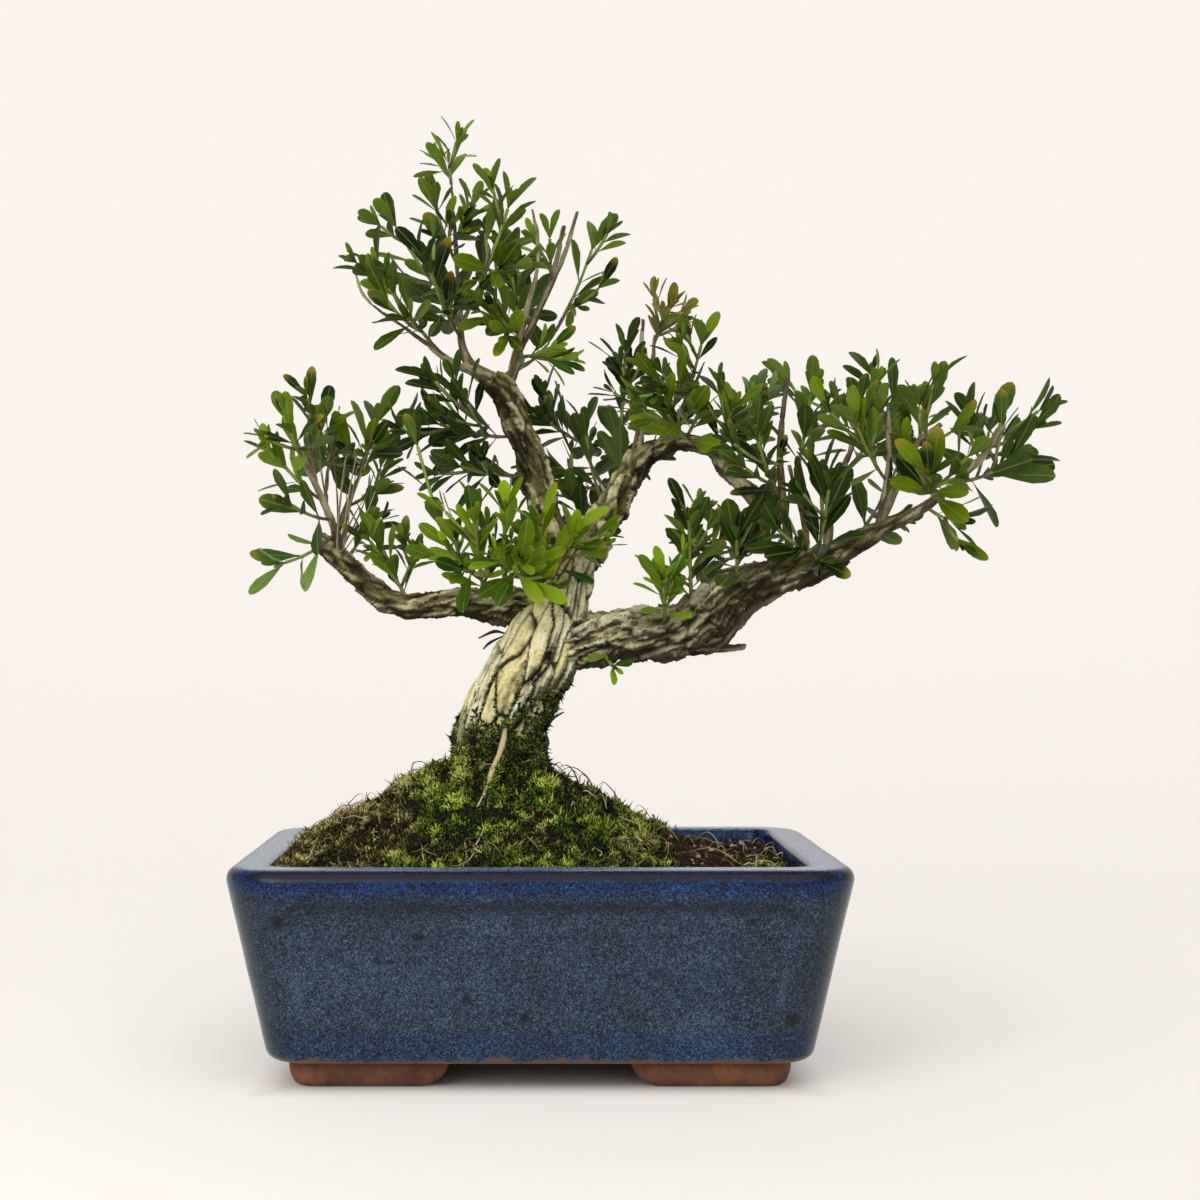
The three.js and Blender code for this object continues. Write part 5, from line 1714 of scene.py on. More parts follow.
    def feet(self) -> Piece:
        """Models the four bracket feet: a ring of clay, its core and its arches cut away, then smoothed.

        Returns:
            The feet, as one piece.
        """
        form = self.form
        base = form.outer(form.foot, self.foot_inset)
        rings = [Section(z, base.x - inset, base.y - inset, base.r - inset).ring()
                 for z, inset in self.foot_profile]
        piece = self.bench.loft("pot_feet", rings)
        core = self.core(base.x - self.foot_wall, base.y - self.foot_wall)
        for cutter in (core, self.arch(self.front_arch, 0), self.arch(self.side_arch, 1)):
            self.bench.cut(piece, cutter)
        self.bench.apply(piece, "REMESH", mode="VOXEL", voxel_size=self.clay_voxel / 1000)
        self.bench.apply(piece, "SMOOTH", factor=0.5, iterations=4)
        points, normals = self.bench.points(piece), self.bench.normals(piece)
        grit = ripple(points, 1.6, 2, 61) * 0.12 + ripple(points, 9.0, 2, 62) * 0.25
        points = points + normals * (grit - 0.3)[:, None] * (points[:, 2] > 1.5)[:, None]
        points[:, 2] = np.maximum(points[:, 2], 0.0)
        self.bench.set_points(piece, points)
        return piece

    def core(self, half_x: float, half_y: float) -> Piece:
        """The block that is cut out between the feet.

        Args:
            half_x: Half its length.
            half_y: Half its depth.

        Returns:
            The block.
        """
        self.bench.take_up()
        bpy.ops.mesh.primitive_cube_add(size=2, location=tuple(self.bench.middle))
        block = bpy.context.object
        block.scale = (half_x / 1000, half_y / 1000, self.form.foot / 1000)
        bpy.ops.object.transform_apply(location=False, rotation=False)
        return block

    def arch(self, arch: Pair, axis: int) -> Piece:
        """The ogee arch that is cut right through between two feet, along Y for axis 0 and X for axis 1.

        Args:
            arch: Half its width at the table, and at the top.
            axis: The axis that its width runs along.

        Returns:
            The cutter.
        """
        low, high = arch
        top, lip_at = self.form.foot, self.form.foot - self.arch_lip_height
        bulge, lip = high + self.arch_bulge, high + self.arch_lip
        profile = [(low + 1, -1.0), (low, 0.0)]
        for i in range(1, 7):
            t = i / 6
            profile.append((
                (1 - t) ** 2 * low + 2 * (1 - t) * t * bulge + t * t * lip,
                2 * (1 - t) * t * self.arch_bulge + t * t * lip_at,
            ))
        profile.append((high, top))
        outline = [(-across, z) for across, z in profile] + profile[::-1]
        reach = self.form.rim_half[0] + 10
        points = []
        for side in (-1, 1):
            for across, z in outline:
                points.append((across, side * reach, z) if axis == 0 else (side * reach, across, z))
        count = len(outline)
        faces = [list(range(count)), list(range(2 * count))[count:][::-1]]
        faces += [[i, i + count, (i + 1) % count + count, (i + 1) % count] for i in range(count)]
        cutter = self.bench.mesh("arch", np.array(points), faces)
        bpy.ops.object.mode_set(mode="EDIT")
        self.bench.face_out()
        return cutter


@dataclass(frozen=True)
class Mound:
    """The shape of the ground: a mound round the trunk that falls to the pot's walls."""

    form: PotForm
    low: float = 85.0
    rise: float = 49.5
    at: Pair = (-22.0, 8.0)
    spread: Pair = (70.0, 55.0)
    below_rim: float = 1.5
    bank: float = 0.9
    cushion_size: float = 13.0
    cushion_rise: float = 4.0
    valley: float = 2.0

    def height(self, points: Array) -> Array:
        """How high the ground is.

        Args:
            points: Where to look.

        Returns:
            The heights in mm.
        """
        x, y = points[:, 0], points[:, 1]
        across, away = (x - self.at[0]) / self.spread[0], (y - self.at[1]) / self.spread[1]
        mound = self.rise * np.exp(-across * across - away * away)
        clods = 1.1 * np.sin(0.21 * x + 1) * np.sin(0.27 * y) + 0.8 * np.sin(0.13 * x - 0.17 * y)
        bank = self.bank * np.maximum(self.from_wall(points), 0)
        return np.minimum(self.low + mound + clods, self.form.height - self.below_rim + bank)

    def from_wall(self, points: Array) -> Array:
        """How far points are inside the pot's inner wall, seen from above."""
        inner = self.form.inner(self.form.height)
        return np.minimum(inner.x - np.abs(points[:, 0]), inner.y - np.abs(points[:, 1]))

    def bare(self, points: Array) -> Array:
        """How bare the ground is: 1 on the gritty soil at the right, 0 under moss.

        Args:
            points: Where to look.

        Returns:
            A number from 0 to 1 for each point.
        """
        x, y, place = points[:, 0], points[:, 1], points * (1, 1, 0)
        clump = smooth_step(84, 92, x + 5 * ripple(place, 12.0, 2, 75)) * smooth_step(0.0, -20.0, y)
        return smooth_step(50, 70, x + 16 * ripple(place, 24.0, 3, 71) - 0.1 * y) * (1 - 0.8 * clump)

    def dryness(self, points: Array) -> Array:
        """How dry the moss is: 1 on the left slope, 0 at the front and in the middle.

        Args:
            points: Where to look.

        Returns:
            A number from 0 to 1 for each point.
        """
        x, y, place = points[:, 0], points[:, 1], points * (1, 1, 0)
        slope = smooth_step(-40.0, -85.0, x) + 0.35 * smooth_step(0.0, 40.0, y)
        front = smooth_step(-55.0, -85.0, y) * smooth_step(-95.0, -60.0, x)
        return np.clip(0.35 + 0.8 * slope + 0.8 * ripple(place, 20.0, 3, 81) - 0.9 * front, 0, 1)

    def cushion(self, points: Array) -> Array:
        """How high the moss's cushions swell, from 0 in the gaps between them to 1 on their tops.

        Args:
            points: Where to look.

        Returns:
            A number for each point.
        """
        place = points * (1, 1, 0)
        bend = np.stack([ripple(place, self.cushion_size, 2, salt) for salt in (84, 86, 88)], axis=1) * 6
        edge, owner = crackle((place + bend) * (1, 1, 0), self.cushion_size, 89)
        tops = smooth_step(0.02, 0.4, edge) * (0.4 + 0.6 * owner)
        rough = smooth_step(-0.5, 0.5, ripple(place, 6.0, 2, 93))
        return (0.5 * tops + 0.6 * tops * rough + 0.2 * rough) * (1 - self.bare(points))


@dataclass
class Soil:
    """The packed soil: a fine grid that follows the mound, closed below."""

    bench: Bench
    mound: Mound
    cell: float = 1.5
    gap: float = 0.3
    below_rim: float = 6.0
    bottom: float = 21.3
    lump: float = 0.9

    def build(self) -> Piece:
        """Models the soil and hands it over.

        Returns:
            The soil.
        """
        form = self.mound.form
        top = form.inner(form.height - self.below_rim, self.gap)
        columns, rows = round(2 * top.x / self.cell), round(2 * top.y / self.cell)
        self.bench.take_up()
        bpy.ops.mesh.primitive_grid_add(x_subdivisions=columns, y_subdivisions=rows, size=2)
        piece = bpy.context.object
        piece.name = piece.data.name = "soil_bed"
        points = read(piece.data.vertices, "co") * (top.x, top.y, 0)
        points[:, :2] = self.round_off(points[:, :2], top)
        points[:, 2] = self.surface(points)
        self.bench.set_points(piece, points)
        for z, inset in ((form.floor + form.inner_fillet, 0.0), (self.bottom, 0.7 * form.inner_fillet)):
            self.draw_down(piece, form.inner(z, self.gap + inset), top)
        bpy.ops.object.mode_set(mode="EDIT")
        bpy.ops.mesh.edge_face_add()
        self.bench.face_out()
        self.bench.note(piece, bare=self.mound.bare(self.bench.points(piece)))
        self.bench.hand_over(piece, "soil", [DampSoil().make()], ("soil",))
        return piece

    def surface(self, points: Array) -> Array:
        """How high the mound is, with its cushions of moss and its small lumps.

        Args:
            points: Where to look.

        Returns:
            The heights in mm.
        """
        mound = self.mound
        cushions = mound.cushion_rise * mound.cushion(points) - mound.valley * (1 - mound.bare(points))
        lumps = ripple(points * (1, 1, 0), 3.6, 3, 95) * self.lump
        inward = smooth_step(-1.0, 6.0, mound.from_wall(points))
        return mound.height(points) + (cushions + lumps) * inward - 0.6

    def round_off(self, flat: Array, section: Section) -> Array:
        """Points of a square grid, drawn in where they lie outside the section's rounded corners.

        Args:
            flat: The points, seen from above.
            section: The section.

        Returns:
            The points, drawn in.
        """
        centre = np.array((section.x - section.r, section.y - section.r))
        past = np.maximum(np.abs(flat) - centre, 0)
        reach = np.linalg.norm(past, axis=1)
        most = np.maximum(past.max(axis=1), 1e-9)
        shrink = np.where((past > 0).all(axis=1), most / np.maximum(reach, 1e-9), 1.0)
        return np.sign(flat) * (np.minimum(np.abs(flat), centre) + past * shrink[:, None])

    def draw_down(self, piece: Piece, section: Section, top: Section) -> None:
        """Extrudes the open border down to a section, and leaves it selected.

        Args:
            piece: The soil.
            section: Where the new border lies.
            top: Where the grid's own border lay.
        """
        self.bench.take_up(piece)
        bpy.ops.object.mode_set(mode="EDIT")
        bpy.ops.mesh.select_mode(type="EDGE")
        bpy.ops.mesh.select_all(action="DESELECT")
        bpy.ops.mesh.select_non_manifold(
            extend=False, use_wire=False, use_boundary=True, use_multi_face=False, use_non_contiguous=False,
            use_verts=False)
        bpy.ops.mesh.extrude_edges_move()
        bpy.ops.object.mode_set(mode="OBJECT")
        points = self.bench.points(piece)
        chosen = np.array([vertex.select for vertex in piece.data.vertices])
        points[chosen, 0] *= section.x / top.x
        points[chosen, 1] *= section.y / top.y
        points[chosen, 2] = section.z
        self.bench.set_points(piece, points)


@dataclass
class Scatter:
    """Spots strewn over a piece's surface, thicker where a cover says so."""

    bench: Bench
    seed: int

    def __post_init__(self) -> None:
        """Starts the draws."""
        self.draws = np.random.default_rng(self.seed)

    def over(
        self, piece: Piece, count: int, cover: Callable[[Array, Array], Array]
    ) -> tuple[Array, Array]:
        """Chooses spots.

        Args:
            piece: What they lie on.
            count: How many there are.
            cover: How thick they lie, from the places and normals of the piece's faces.

        Returns:
            Their places in mm, and the surface's normals there.
        """
        polygons = piece.data.polygons
        places, facing = self.bench.millimetres(read(polygons, "center")), read(polygons, "normal")
        areas = read(polygons, "area", 1)[:, 0].astype(np.float32)
        weight = areas * np.maximum(cover(places, facing), 0)
        chosen = self.draws.choice(len(weight), count, p=weight / weight.sum())
        side = np.sqrt(areas[chosen]) * 1000
        shift = self.draws.uniform(-0.6, 0.6, (count, 3)) * side[:, None]
        normal = facing[chosen]
        shift -= normal * np.einsum("ij,ij->i", shift, normal)[:, None]
        return places[chosen] + shift, normal

    def frames(self, normals: Array, lean: float) -> Array:
        """Three unit axes for each spot, turned at random, the last of them near its normal.

        Args:
            normals: The surface's normal at each spot.
            lean: How far the last axis strays from it.

        Returns:
            Three rows for each spot.
        """
        count = len(normals)
        tall = normals + self.draws.normal(0, lean, (count, 3))
        tall /= np.linalg.norm(tall, axis=1, keepdims=True)
        first = np.cross(tall, self.draws.normal(0, 1, (count, 3)))
        first /= np.linalg.norm(first, axis=1, keepdims=True)
        return np.stack([first, np.cross(tall, first), tall], axis=1)

    def strew(
        self, name: str, shape: tuple[Array, Array], places: Array, axes: Array,
        sizes: Array, notes: dict[str, Array],
    ) -> Piece:
        """Copies one small shape to every spot, as one piece.

        Args:
            name: The piece's name.
            shape: The shape's points and its faces, all with as many corners.
            places: Where the copies go, in mm.
            axes: Each copy's three axes.
            sizes: Each copy's size along its axes.
            notes: A number for each copy, under each name.

        Returns:
            The piece.
        """
        points, faces = shape
        scaled = points[None] * sizes[:, None, :]
        moved = np.einsum("npk,nkj->npj", scaled, axes) + places[:, None]
        offsets = np.arange(len(places))[:, None, None] * len(points)
        copied = (faces[None] + offsets).reshape(-1, faces.shape[1])
        piece = self.bench.mesh(name, moved.reshape(-1, 3), copied)
        spread = {note: np.repeat(values, len(points)) for note, values in notes.items()}
        self.bench.note(piece, tip=np.tile(points[:, 2], len(places)), **spread)
        return piece

    def shape(self, add: Callable[..., object], **sizes: float) -> tuple[Array, Array]:
        """Models one small shape with a primitive and gives back its points and faces.

        Args:
            add: The operator that adds the primitive.
            **sizes: Its settings.

        Returns:
            The points and the faces.
        """
        self.bench.take_up()
        add(**sizes)
        piece = bpy.context.object
        points = np.array([vertex.co for vertex in piece.data.vertices])
        faces = np.array([list(face.vertices) for face in piece.data.polygons])
        bpy.data.objects.remove(piece)
        return points, faces


@dataclass
class Moss:
    """Moss: tiny pointed shoots packed over the soil and up the foot of the trunk."""

    bench: Bench
    mound: Mound
    count: int = 16500
    girth: Pair = (0.5, 0.95)
    tall: Pair = (0.9, 3.4)
    lean: float = 0.5
    trunk_count: int = 10000
    thirds: tuple[float, ...] = (-999.0, -52.0, 4.0, 999.0)

    def build(self, soil: Piece, trunk: Piece) -> None:
        """Strews the moss over the soil in three pieces, and over the trunk in one.

        Args:
            soil: The soil.
            trunk: The trunk.
        """
        finish = MossShoots().make()
        for number, name in enumerate(("moss_left", "moss_middle", "moss_right")):
            scatter = Scatter(self.bench, 500 + number)
            piece = self.strew(scatter, name, soil, self.count, lambda p, n: self.on_soil(p, n, number))
            self.bench.hand_over(piece, "soil", [finish])
        piece = self.strew(Scatter(self.bench, 510), "moss_on_trunk", trunk, self.trunk_count, self.on_trunk)
        self.bench.hand_over(piece, "soil", [finish])

    def strew(
        self, scatter: Scatter, name: str, ground: Piece, count: int,
        cover: Callable[[Array, Array], Array],
    ) -> Piece:
        """Strews one piece of moss over the ground where the cover says.

        Args:
            scatter: What the spots are drawn from.
            name: The piece's name.
            ground: What the moss grows on.
            count: How many shoots it has.
            cover: How thick it grows.

        Returns:
            The piece.
        """
        spike = scatter.shape(bpy.ops.mesh.primitive_cone_add, vertices=3, radius1=1, depth=1)
        spike[0][:, 2] += 0.5
        places, normals = scatter.over(ground, count, cover)
        upright = normals + (0, 0, 0.5)
        axes = scatter.frames(upright / np.linalg.norm(upright, axis=1, keepdims=True), self.lean)
        girth = scatter.draws.uniform(*self.girth, count)
        tall = scatter.draws.uniform(*self.tall, count)
        swell = self.mound.cushion(places)
        # Patchy, lighter on the cushions' tops and darker in their gaps: painted light and shade over the
        # moss's own patches; it also sets how tall the shoots grow
        patch = np.clip(0.15 + 0.5 * swell + 0.7 * ripple(places, 4.5, 2, 131), 0, 1)
        tall *= (0.6 + 0.6 * patch) * (1 + 1.2 * (scatter.draws.uniform(0, 1, count) > 0.94))
        sizes = np.stack([girth, girth, tall], axis=1)
        dry = self.mound.dryness(places)
        draws = scatter.draws.uniform(0, 1, count)
        notes = {"tone": draws, "patch": patch, "dry": np.clip(dry + 0.35 * (draws - 0.5), 0, 1)}
        return scatter.strew(name, spike, places - 0.35 * axes[:, 2], axes, sizes, notes)

    def on_soil(self, places: Array, normals: Array, part: int) -> Array:
        """How thick moss lies on the soil, in one third of the pot.

        Args:
            places: Where to look.
            normals: The soil's normals there.
            part: The third, counted from the left.

        Returns:
            A weight for each place.
        """
        low, high = self.thirds[part:part + 2]
        x = places[:, 0]
        cover = 1 - 0.96 * self.mound.bare(places)
        gaps = smooth_step(0.04, 0.3, self.mound.cushion(places))
        gaps *= smooth_step(-0.6, -0.2, ripple(places, 5.0, 2, 141))
        return cover * (0.05 + gaps) * (normals[:, 2] > 0.2) * (x >= low) * (x < high)

    def on_trunk(self, places: Array, normals: Array) -> Array:
        """How thick moss lies on the trunk: round its foot, and higher up its front and right side.

        Args:
            places: Where to look.
            normals: The bark's normals there.

        Returns:
            A weight for each place.
        """
        above = places[:, 2] - self.mound.height(places)
        patches = ripple(places, (8, 8, 16), 2, 151)
        front = smooth_step(0.1, 0.8, -normals[:, 1]) * smooth_step(-0.3, 0.3, normals[:, 0])
        left = 15 * smooth_step(-0.2, 0.5, patches) * smooth_step(0.5, -0.4, normals[:, 0])
        top = 8 + 9 * patches + left + 30 * smooth_step(0.1, 0.8, normals[:, 0]) + 12 * front
        return (above > -4) * (1 - smooth_step(top - 4, top + 1, above)) * (places[:, 2] < 170)


@dataclass
class Litter:
    """What lies on the ground: grit, dry grass strands and pale fibres, and dry black bits of leaf."""

    bench: Bench
    mound: Mound
    grains: int = 2000
    strands: int = 230
    strand_length: Pair = (5.0, 26.0)
    strand_radius: Pair = (0.18, 0.42)
    sides: int = 4
    steps: int = 8
    laid: tuple[tuple[float, tuple[Knot, ...]], ...] = (
        (0.9, ((-15, -15, 146, 0.9), (-16, -18, 140, 1.5), (-18, -21, 134, 1.1), (-21, -24, 127, 1.3),
               (-23, -28, 120, 0.8), (-27, -34, 113, 0.4))),
        (0.0, ((-15, -5, 188, 0.3), (-20, -8, 189, 0.8), (-27, -10, 186, 0.3))),
        (0.0, ((-16, -5, 187, 0.3), (-22, -8, 184, 0.7), (-25, -9, 181, 0.3))),
        (0.0, ((4, -4, 146, 0.4), (6, -5, 150, 0.8), (11, -6, 153, 0.3))),
        (0.0, ((3, -4, 144, 0.3), (4, -6, 139, 0.7), (2, -6, 135, 0.4))),
    )
    seed: int = 620

    def build(self, soil: Piece) -> None:
        """Strews the grit and lays the strands.

        Args:
            soil: The soil.
        """
        scatter = Scatter(self.bench, self.seed)
        grain = scatter.shape(bpy.ops.mesh.primitive_ico_sphere_add, subdivisions=1, radius=1)
        grain[0][:] *= 1 + 0.3 * scatter.draws.uniform(-1, 1, grain[0].shape)
        places, normals = scatter.over(soil, self.grains, self.on_soil)
        axes = scatter.frames(normals, 0.8)
        sizes = scatter.draws.lognormal(-0.4, 0.45, (self.grains, 1))
        sizes = sizes * scatter.draws.uniform(0.6, 1.2, (self.grains, 3))
        notes = {"tone": scatter.draws.uniform(0, 1, self.grains) ** 1.5}
        piece = scatter.strew("grit", grain, places, axes, np.clip(sizes, 0.25, 2.0), notes)
        self.bench.hand_over(piece, "soil", [Grit().make()])
        self.lay_strands(soil, scatter)

    def on_soil(self, places: Array, normals: Array) -> Array:
        """How thick the grit lies: most on the bare soil."""
        return (normals[:, 2] > 0.2) * (0.12 + self.mound.bare(places))

    def lay_strands(self, soil: Piece, scatter: Scatter) -> None:
        """Lays dry strands over the ground, bent and crossing, in one piece.

        Args:
            soil: The soil.
            scatter: What the spots are drawn from.
        """
        heap = Heap()
        draw = scatter.draws.uniform
        places, normals = scatter.over(soil, self.strands, lambda p, n: (n[:, 2] > 0.2) * 1.0)
        steps = np.linspace(0, 1, self.steps + 1)
        inner = self.mound.form.inner(self.mound.form.height, 2.0)
        for place in places:
            turns = draw(0, 2 * math.pi) + draw(-1.6, 1.6) * steps
            length = lerp(*self.strand_length, draw() ** 2)
            lift = draw(0.4, 2.2) ** 2
            ahead = np.stack([np.cos(turns[:-1]), np.sin(turns[:-1])], axis=1)
            flat = place[:2] + np.vstack([[0, 0], np.cumsum(ahead, axis=0)]) * length / self.steps
            x, y = np.clip(flat.T, [[-inner.x], [-inner.y]], [[inner.x], [inner.y]])
            path = np.stack([x, y, np.zeros_like(x)], axis=1)
            ground = self.mound.height(path) + 3.4 * self.mound.cushion(path) + 0.6
            path[:, 2] = ground + lift * np.sin(steps * math.pi)
            radii = lerp(*self.strand_radius, draw()) * (1 - 0.75 * steps)
            if np.linalg.norm(np.diff(path, axis=0), axis=1).min() > 0.05:
                heap.put(*Tube(path, radii, self.sides).build(), tone=draw() ** 0.7)
        for tone, points in self.laid:
            line = Centreline(points)
            path = np.array([line.point(t) for t in steps])
            bar = Tube(path, [line.radius(t) for t in steps], 2 * self.sides)
            heap.put(*bar.build(), tone=tone)
        piece = heap.build(self.bench, "dry_strands")
        self.bench.hand_over(piece, "soil", [DryGrass().make()])


@dataclass
class DeadTwigs:
    """Thin dead twigs among the left sprays, dried grey: they fan out and up from the limb's end."""

    bench: Bench
    count: int = 15
    foot: Point = (-89.0, -5.0, 224.0)
    foot_spread: float = 1.5
    tips: tuple[Point, Point] = ((-102.0, -24.0, 246.0), (-70.0, 2.0, 279.0))
    radii: Pair = (0.52, 0.2)
    side: float = 0.12
    steps: int = 9
    sides: int = 5
    seed: int = 660

    def build(self, finishes: Sequence[Finish]) -> None:
        """Models the twigs as one piece and hands it over.

        Args:
            finishes: The bark's material.
        """
        draws, heap = np.random.default_rng(self.seed), Heap()
        steps = np.linspace(0, 1, self.steps)
        for _ in range(self.count):
            start = np.array(self.foot) + draws.normal(0, self.foot_spread, 3)
            curve = Bow(start, draws.uniform(*self.tips), 0.06, draws.uniform(-self.side, self.side))
            radii = lerp(*self.radii, steps) * draws.uniform(0.75, 1.25, self.steps)
            bar = Tube(np.array([curve.point(t) for t in steps]), radii, self.sides)
            notes = {"plate": draws.uniform(), "flake": draws.uniform(0.4, 1), "girth": 2.0}
            heap.put(*bar.build(), crack=0.0, hollow=0.0, under=0.0, low=0.0, **notes)
        self.bench.hand_over(heap.build(self.bench, "dead_twigs"), "bark", finishes)


@dataclass(frozen=True)
class MottledGlaze:
    """Blue stoneware glaze, poured and fired: it crawls into fine worm-like lines, thickens to cobalt below
    the rim and above the feet, and runs thin and brown on the lip. To the eye: glossy, veined, deep blue.
    """

    middle: Point
    ground: Stops = ((0.3, "#131a25"), (0.7, "#1a2536"))
    veins: Stops = ((0.3, "#485b72"), (0.7, "#576f88"))
    cobalt: Stops = ((0.3, "#02051a"), (0.7, "#091536"))
    cobalt_veins: Stops = ((0.3, "#123e88"), (0.7, "#2460a8"))
    # The rim's top: speckled glaze, paler partly as a painted reflection
    rim_top_and_reflection: Stops = ((0.34, "#151d2b"), (0.46, "#56698a"), (0.7, "#8797b4"))
    lip: str = "#1a100c"
    # The painted highlight down each panel's sides
    panel_side: str = "#5a6f88"
    foot_line: str = "#5e443a"
    shade: str = "#0d1116"
    vein_size: float = 1.2
    vein_width: float = 0.064
    # Where each cobalt band begins and ends in height, and how softly
    high_band: Point = (82.5, 97.0, 3.5)
    low_band: Point = (14.0, 25.0, 2.0)
    low_band_weight: float = 0.35
    spots: tuple[Point, ...] = (
        (-105.6, 71.0, 3.4), (-49.5, 65.4, 2.8), (-66.0, 55.5, 2.4), (-6.6, 31.7, 3.2), (-30.0, 39.0, 2.6),
        (77.8, 66.0, 2.3), (85.4, 71.9, 2.4), (79.4, 31.7, 2.2), (102.6, 30.9, 3.9), (31.0, 49.0, 1.8))

    def make(self) -> Finish:
        """Mixes the glaze. Its real veins, 0.7 mm apart, are too fine to show, so they are drawn coarser.

        Returns:
            The material.
        """
        canvas = Canvas("mottled_blue_stoneware_glaze")
        add, place = canvas.add, canvas.place
        height = add("SeparateXYZ", {0: place}, take=2)
        wobble = add("TexNoise", {"Vector": place, "Scale": per_mm(9), "Detail": 3.0})
        wobble = add("MapRange", {"Value": wobble, "From Min": 0.2, "From Max": 0.8,
                                  "To Min": -0.002, "To Max": 0.002})
        height = add("Math", {0: height, 1: wobble}, operation="ADD")
        bands = []
        for low, high, soft in (self.high_band, self.low_band):
            ends = ((low - soft, low + soft), (high + soft, high - soft))
            rise, fall = (add("MapRange", {"Value": height, "From Min": none / 1000, "From Max": full / 1000})
                          for none, full in ends)
            bands.append(add("Math", {0: rise, 1: fall}, operation="MULTIPLY"))
        weak = add("Math", {0: bands[1], 1: self.low_band_weight}, operation="MULTIPLY")
        band = add("Math", {0: bands[0], 1: weak}, operation="MAXIMUM")
        cloud = add("TexNoise", {"Vector": place, "Scale": per_mm(30), "Detail": 5.0, "Roughness": 0.6})
        worm = add("TexNoise", {"Vector": place, "Scale": per_mm(self.vein_size), "Detail": 1.0,
                                "Distortion": 0.9})
        middle = add("Math", {0: worm, 1: 0.5}, operation="SUBTRACT")
        middle = add("Math", {0: middle}, operation="ABSOLUTE")
        vein = add("MapRange", {"Value": middle, "From Min": self.vein_width, "From Max": 0.0,
                                "To Max": 0.85})
        skins = []
        for ground, veins in ((self.ground, self.veins), (self.cobalt, self.cobalt_veins)):
            under = add("ValToRGB", {"Fac": cloud}, stops=ground)
            over = add("ValToRGB", {"Fac": cloud}, stops=veins)
            skins.append(add("Mix", {0: vein, 6: under, 7: over}, **BLEND))
        colour = add("Mix", {0: band, 6: skins[0], 7: skins[1]}, **BLEND)
        marks = []
        # Painted shade along the panels' tops, darker vertical corners, a painted highlight down the panels'
        # sides, and the lip's brown
        for note, strength in (("panel_top", 0.6), ("corner", 0.4), ("panel_side", 0.3), ("lip", 0.95)):
            mark = add("Attribute", take="Fac", attribute_name=note)
            marks.append(add("Math", {0: mark, 1: strength}, operation="MULTIPLY"))
        lip, panel_side = marks.pop(), marks.pop()
        front = add("VectorMath", {0: place, 1: (1.0, 0.0, 1.0)}, operation="MULTIPLY")
        for x, z, size in self.spots:
            spot = (self.middle[0] + x / 1000, 0.0, z / 1000)
            away = add("VectorMath", {0: front, 1: spot}, take=1, operation="DISTANCE")
            away = add("Math", {0: wobble, 1: 0.35, 2: away}, operation="MULTIPLY_ADD")
            marks.append(add("MapRange", {"Value": away, "From Min": size / 1000,
                                          "From Max": 0.4 * size / 1000, "To Max": 0.8}))
        foot = add("MapRange", {"Value": height, "From Min": 0.0142, "From Max": 0.0128, "To Max": 0.9})
        # Paler speckled glaze on the rim's top, partly its own colour and partly a painted reflection
        top = add("Attribute", take="Fac", attribute_name="top")
        pale = add("ValToRGB", {"Fac": worm}, stops=self.rim_top_and_reflection)
        # The dark colour serves the glaze's real spots, the darker vertical corners and the painted shade along
        # the panels' tops
        layers = [(mark, self.shade) for mark in marks]
        layers += [(panel_side, self.panel_side), (foot, self.foot_line), (top, pale), (lip, self.lip)]
        for share, shade in layers:
            colour = add("Mix", {0: share, 6: colour, 7: shade}, **BLEND)
        dents = add("TexNoise", {"Vector": place, "Scale": per_mm(5), "Detail": 2.0})
        soft = add("Bump", {"Height": dents, "Distance": 0.0002, "Strength": 0.5})
        bump = add("Bump", {"Height": worm, "Distance": 0.0001, "Strength": 0.6, "Normal": soft})
        rough = add("Math", {0: lip, 1: 0.1, 2: 0.22}, operation="MULTIPLY_ADD")
        return canvas.finish({"Base Color": colour, "Roughness": rough, "IOR": 1.5, "Specular IOR Level": 0.2,
                              "Normal": bump})


@dataclass(frozen=True)
class BareClay:
    """Unglazed red stoneware, moulded and fired: matt, gritty, flashed orange where the flame passed."""

    shades: Stops = ((0.25, "#392115"), (0.5, "#623b25"), (0.75, "#84512f"))
    grit_size: float = 0.9

    def make(self) -> Finish:
        """Mixes the clay.

        Returns:
            The material.
        """
        canvas = Canvas("bare_red_stoneware")
        add, place = canvas.add, canvas.place
        flash = add("TexNoise", {"Vector": place, "Scale": per_mm(14), "Detail": 5.0, "Roughness": 0.65})
        colour = add("ValToRGB", {"Fac": flash}, stops=self.shades)
        grit = add("TexNoise", {"Vector": place, "Scale": per_mm(self.grit_size), "Detail": 2.0})
        dark = add("MapRange", {"Value": grit, "From Min": 0.62, "From Max": 0.72, "To Max": 0.6})
        colour = add("Mix", {0: dark, 6: colour, 7: "#1c110d"}, **BLEND)
        bump = add("Bump", {"Height": grit, "Distance": 0.0003, "Strength": 0.6})
        return canvas.finish({"Base Color": colour, "Roughness": 0.82, "IOR": 1.5, "Normal": bump})


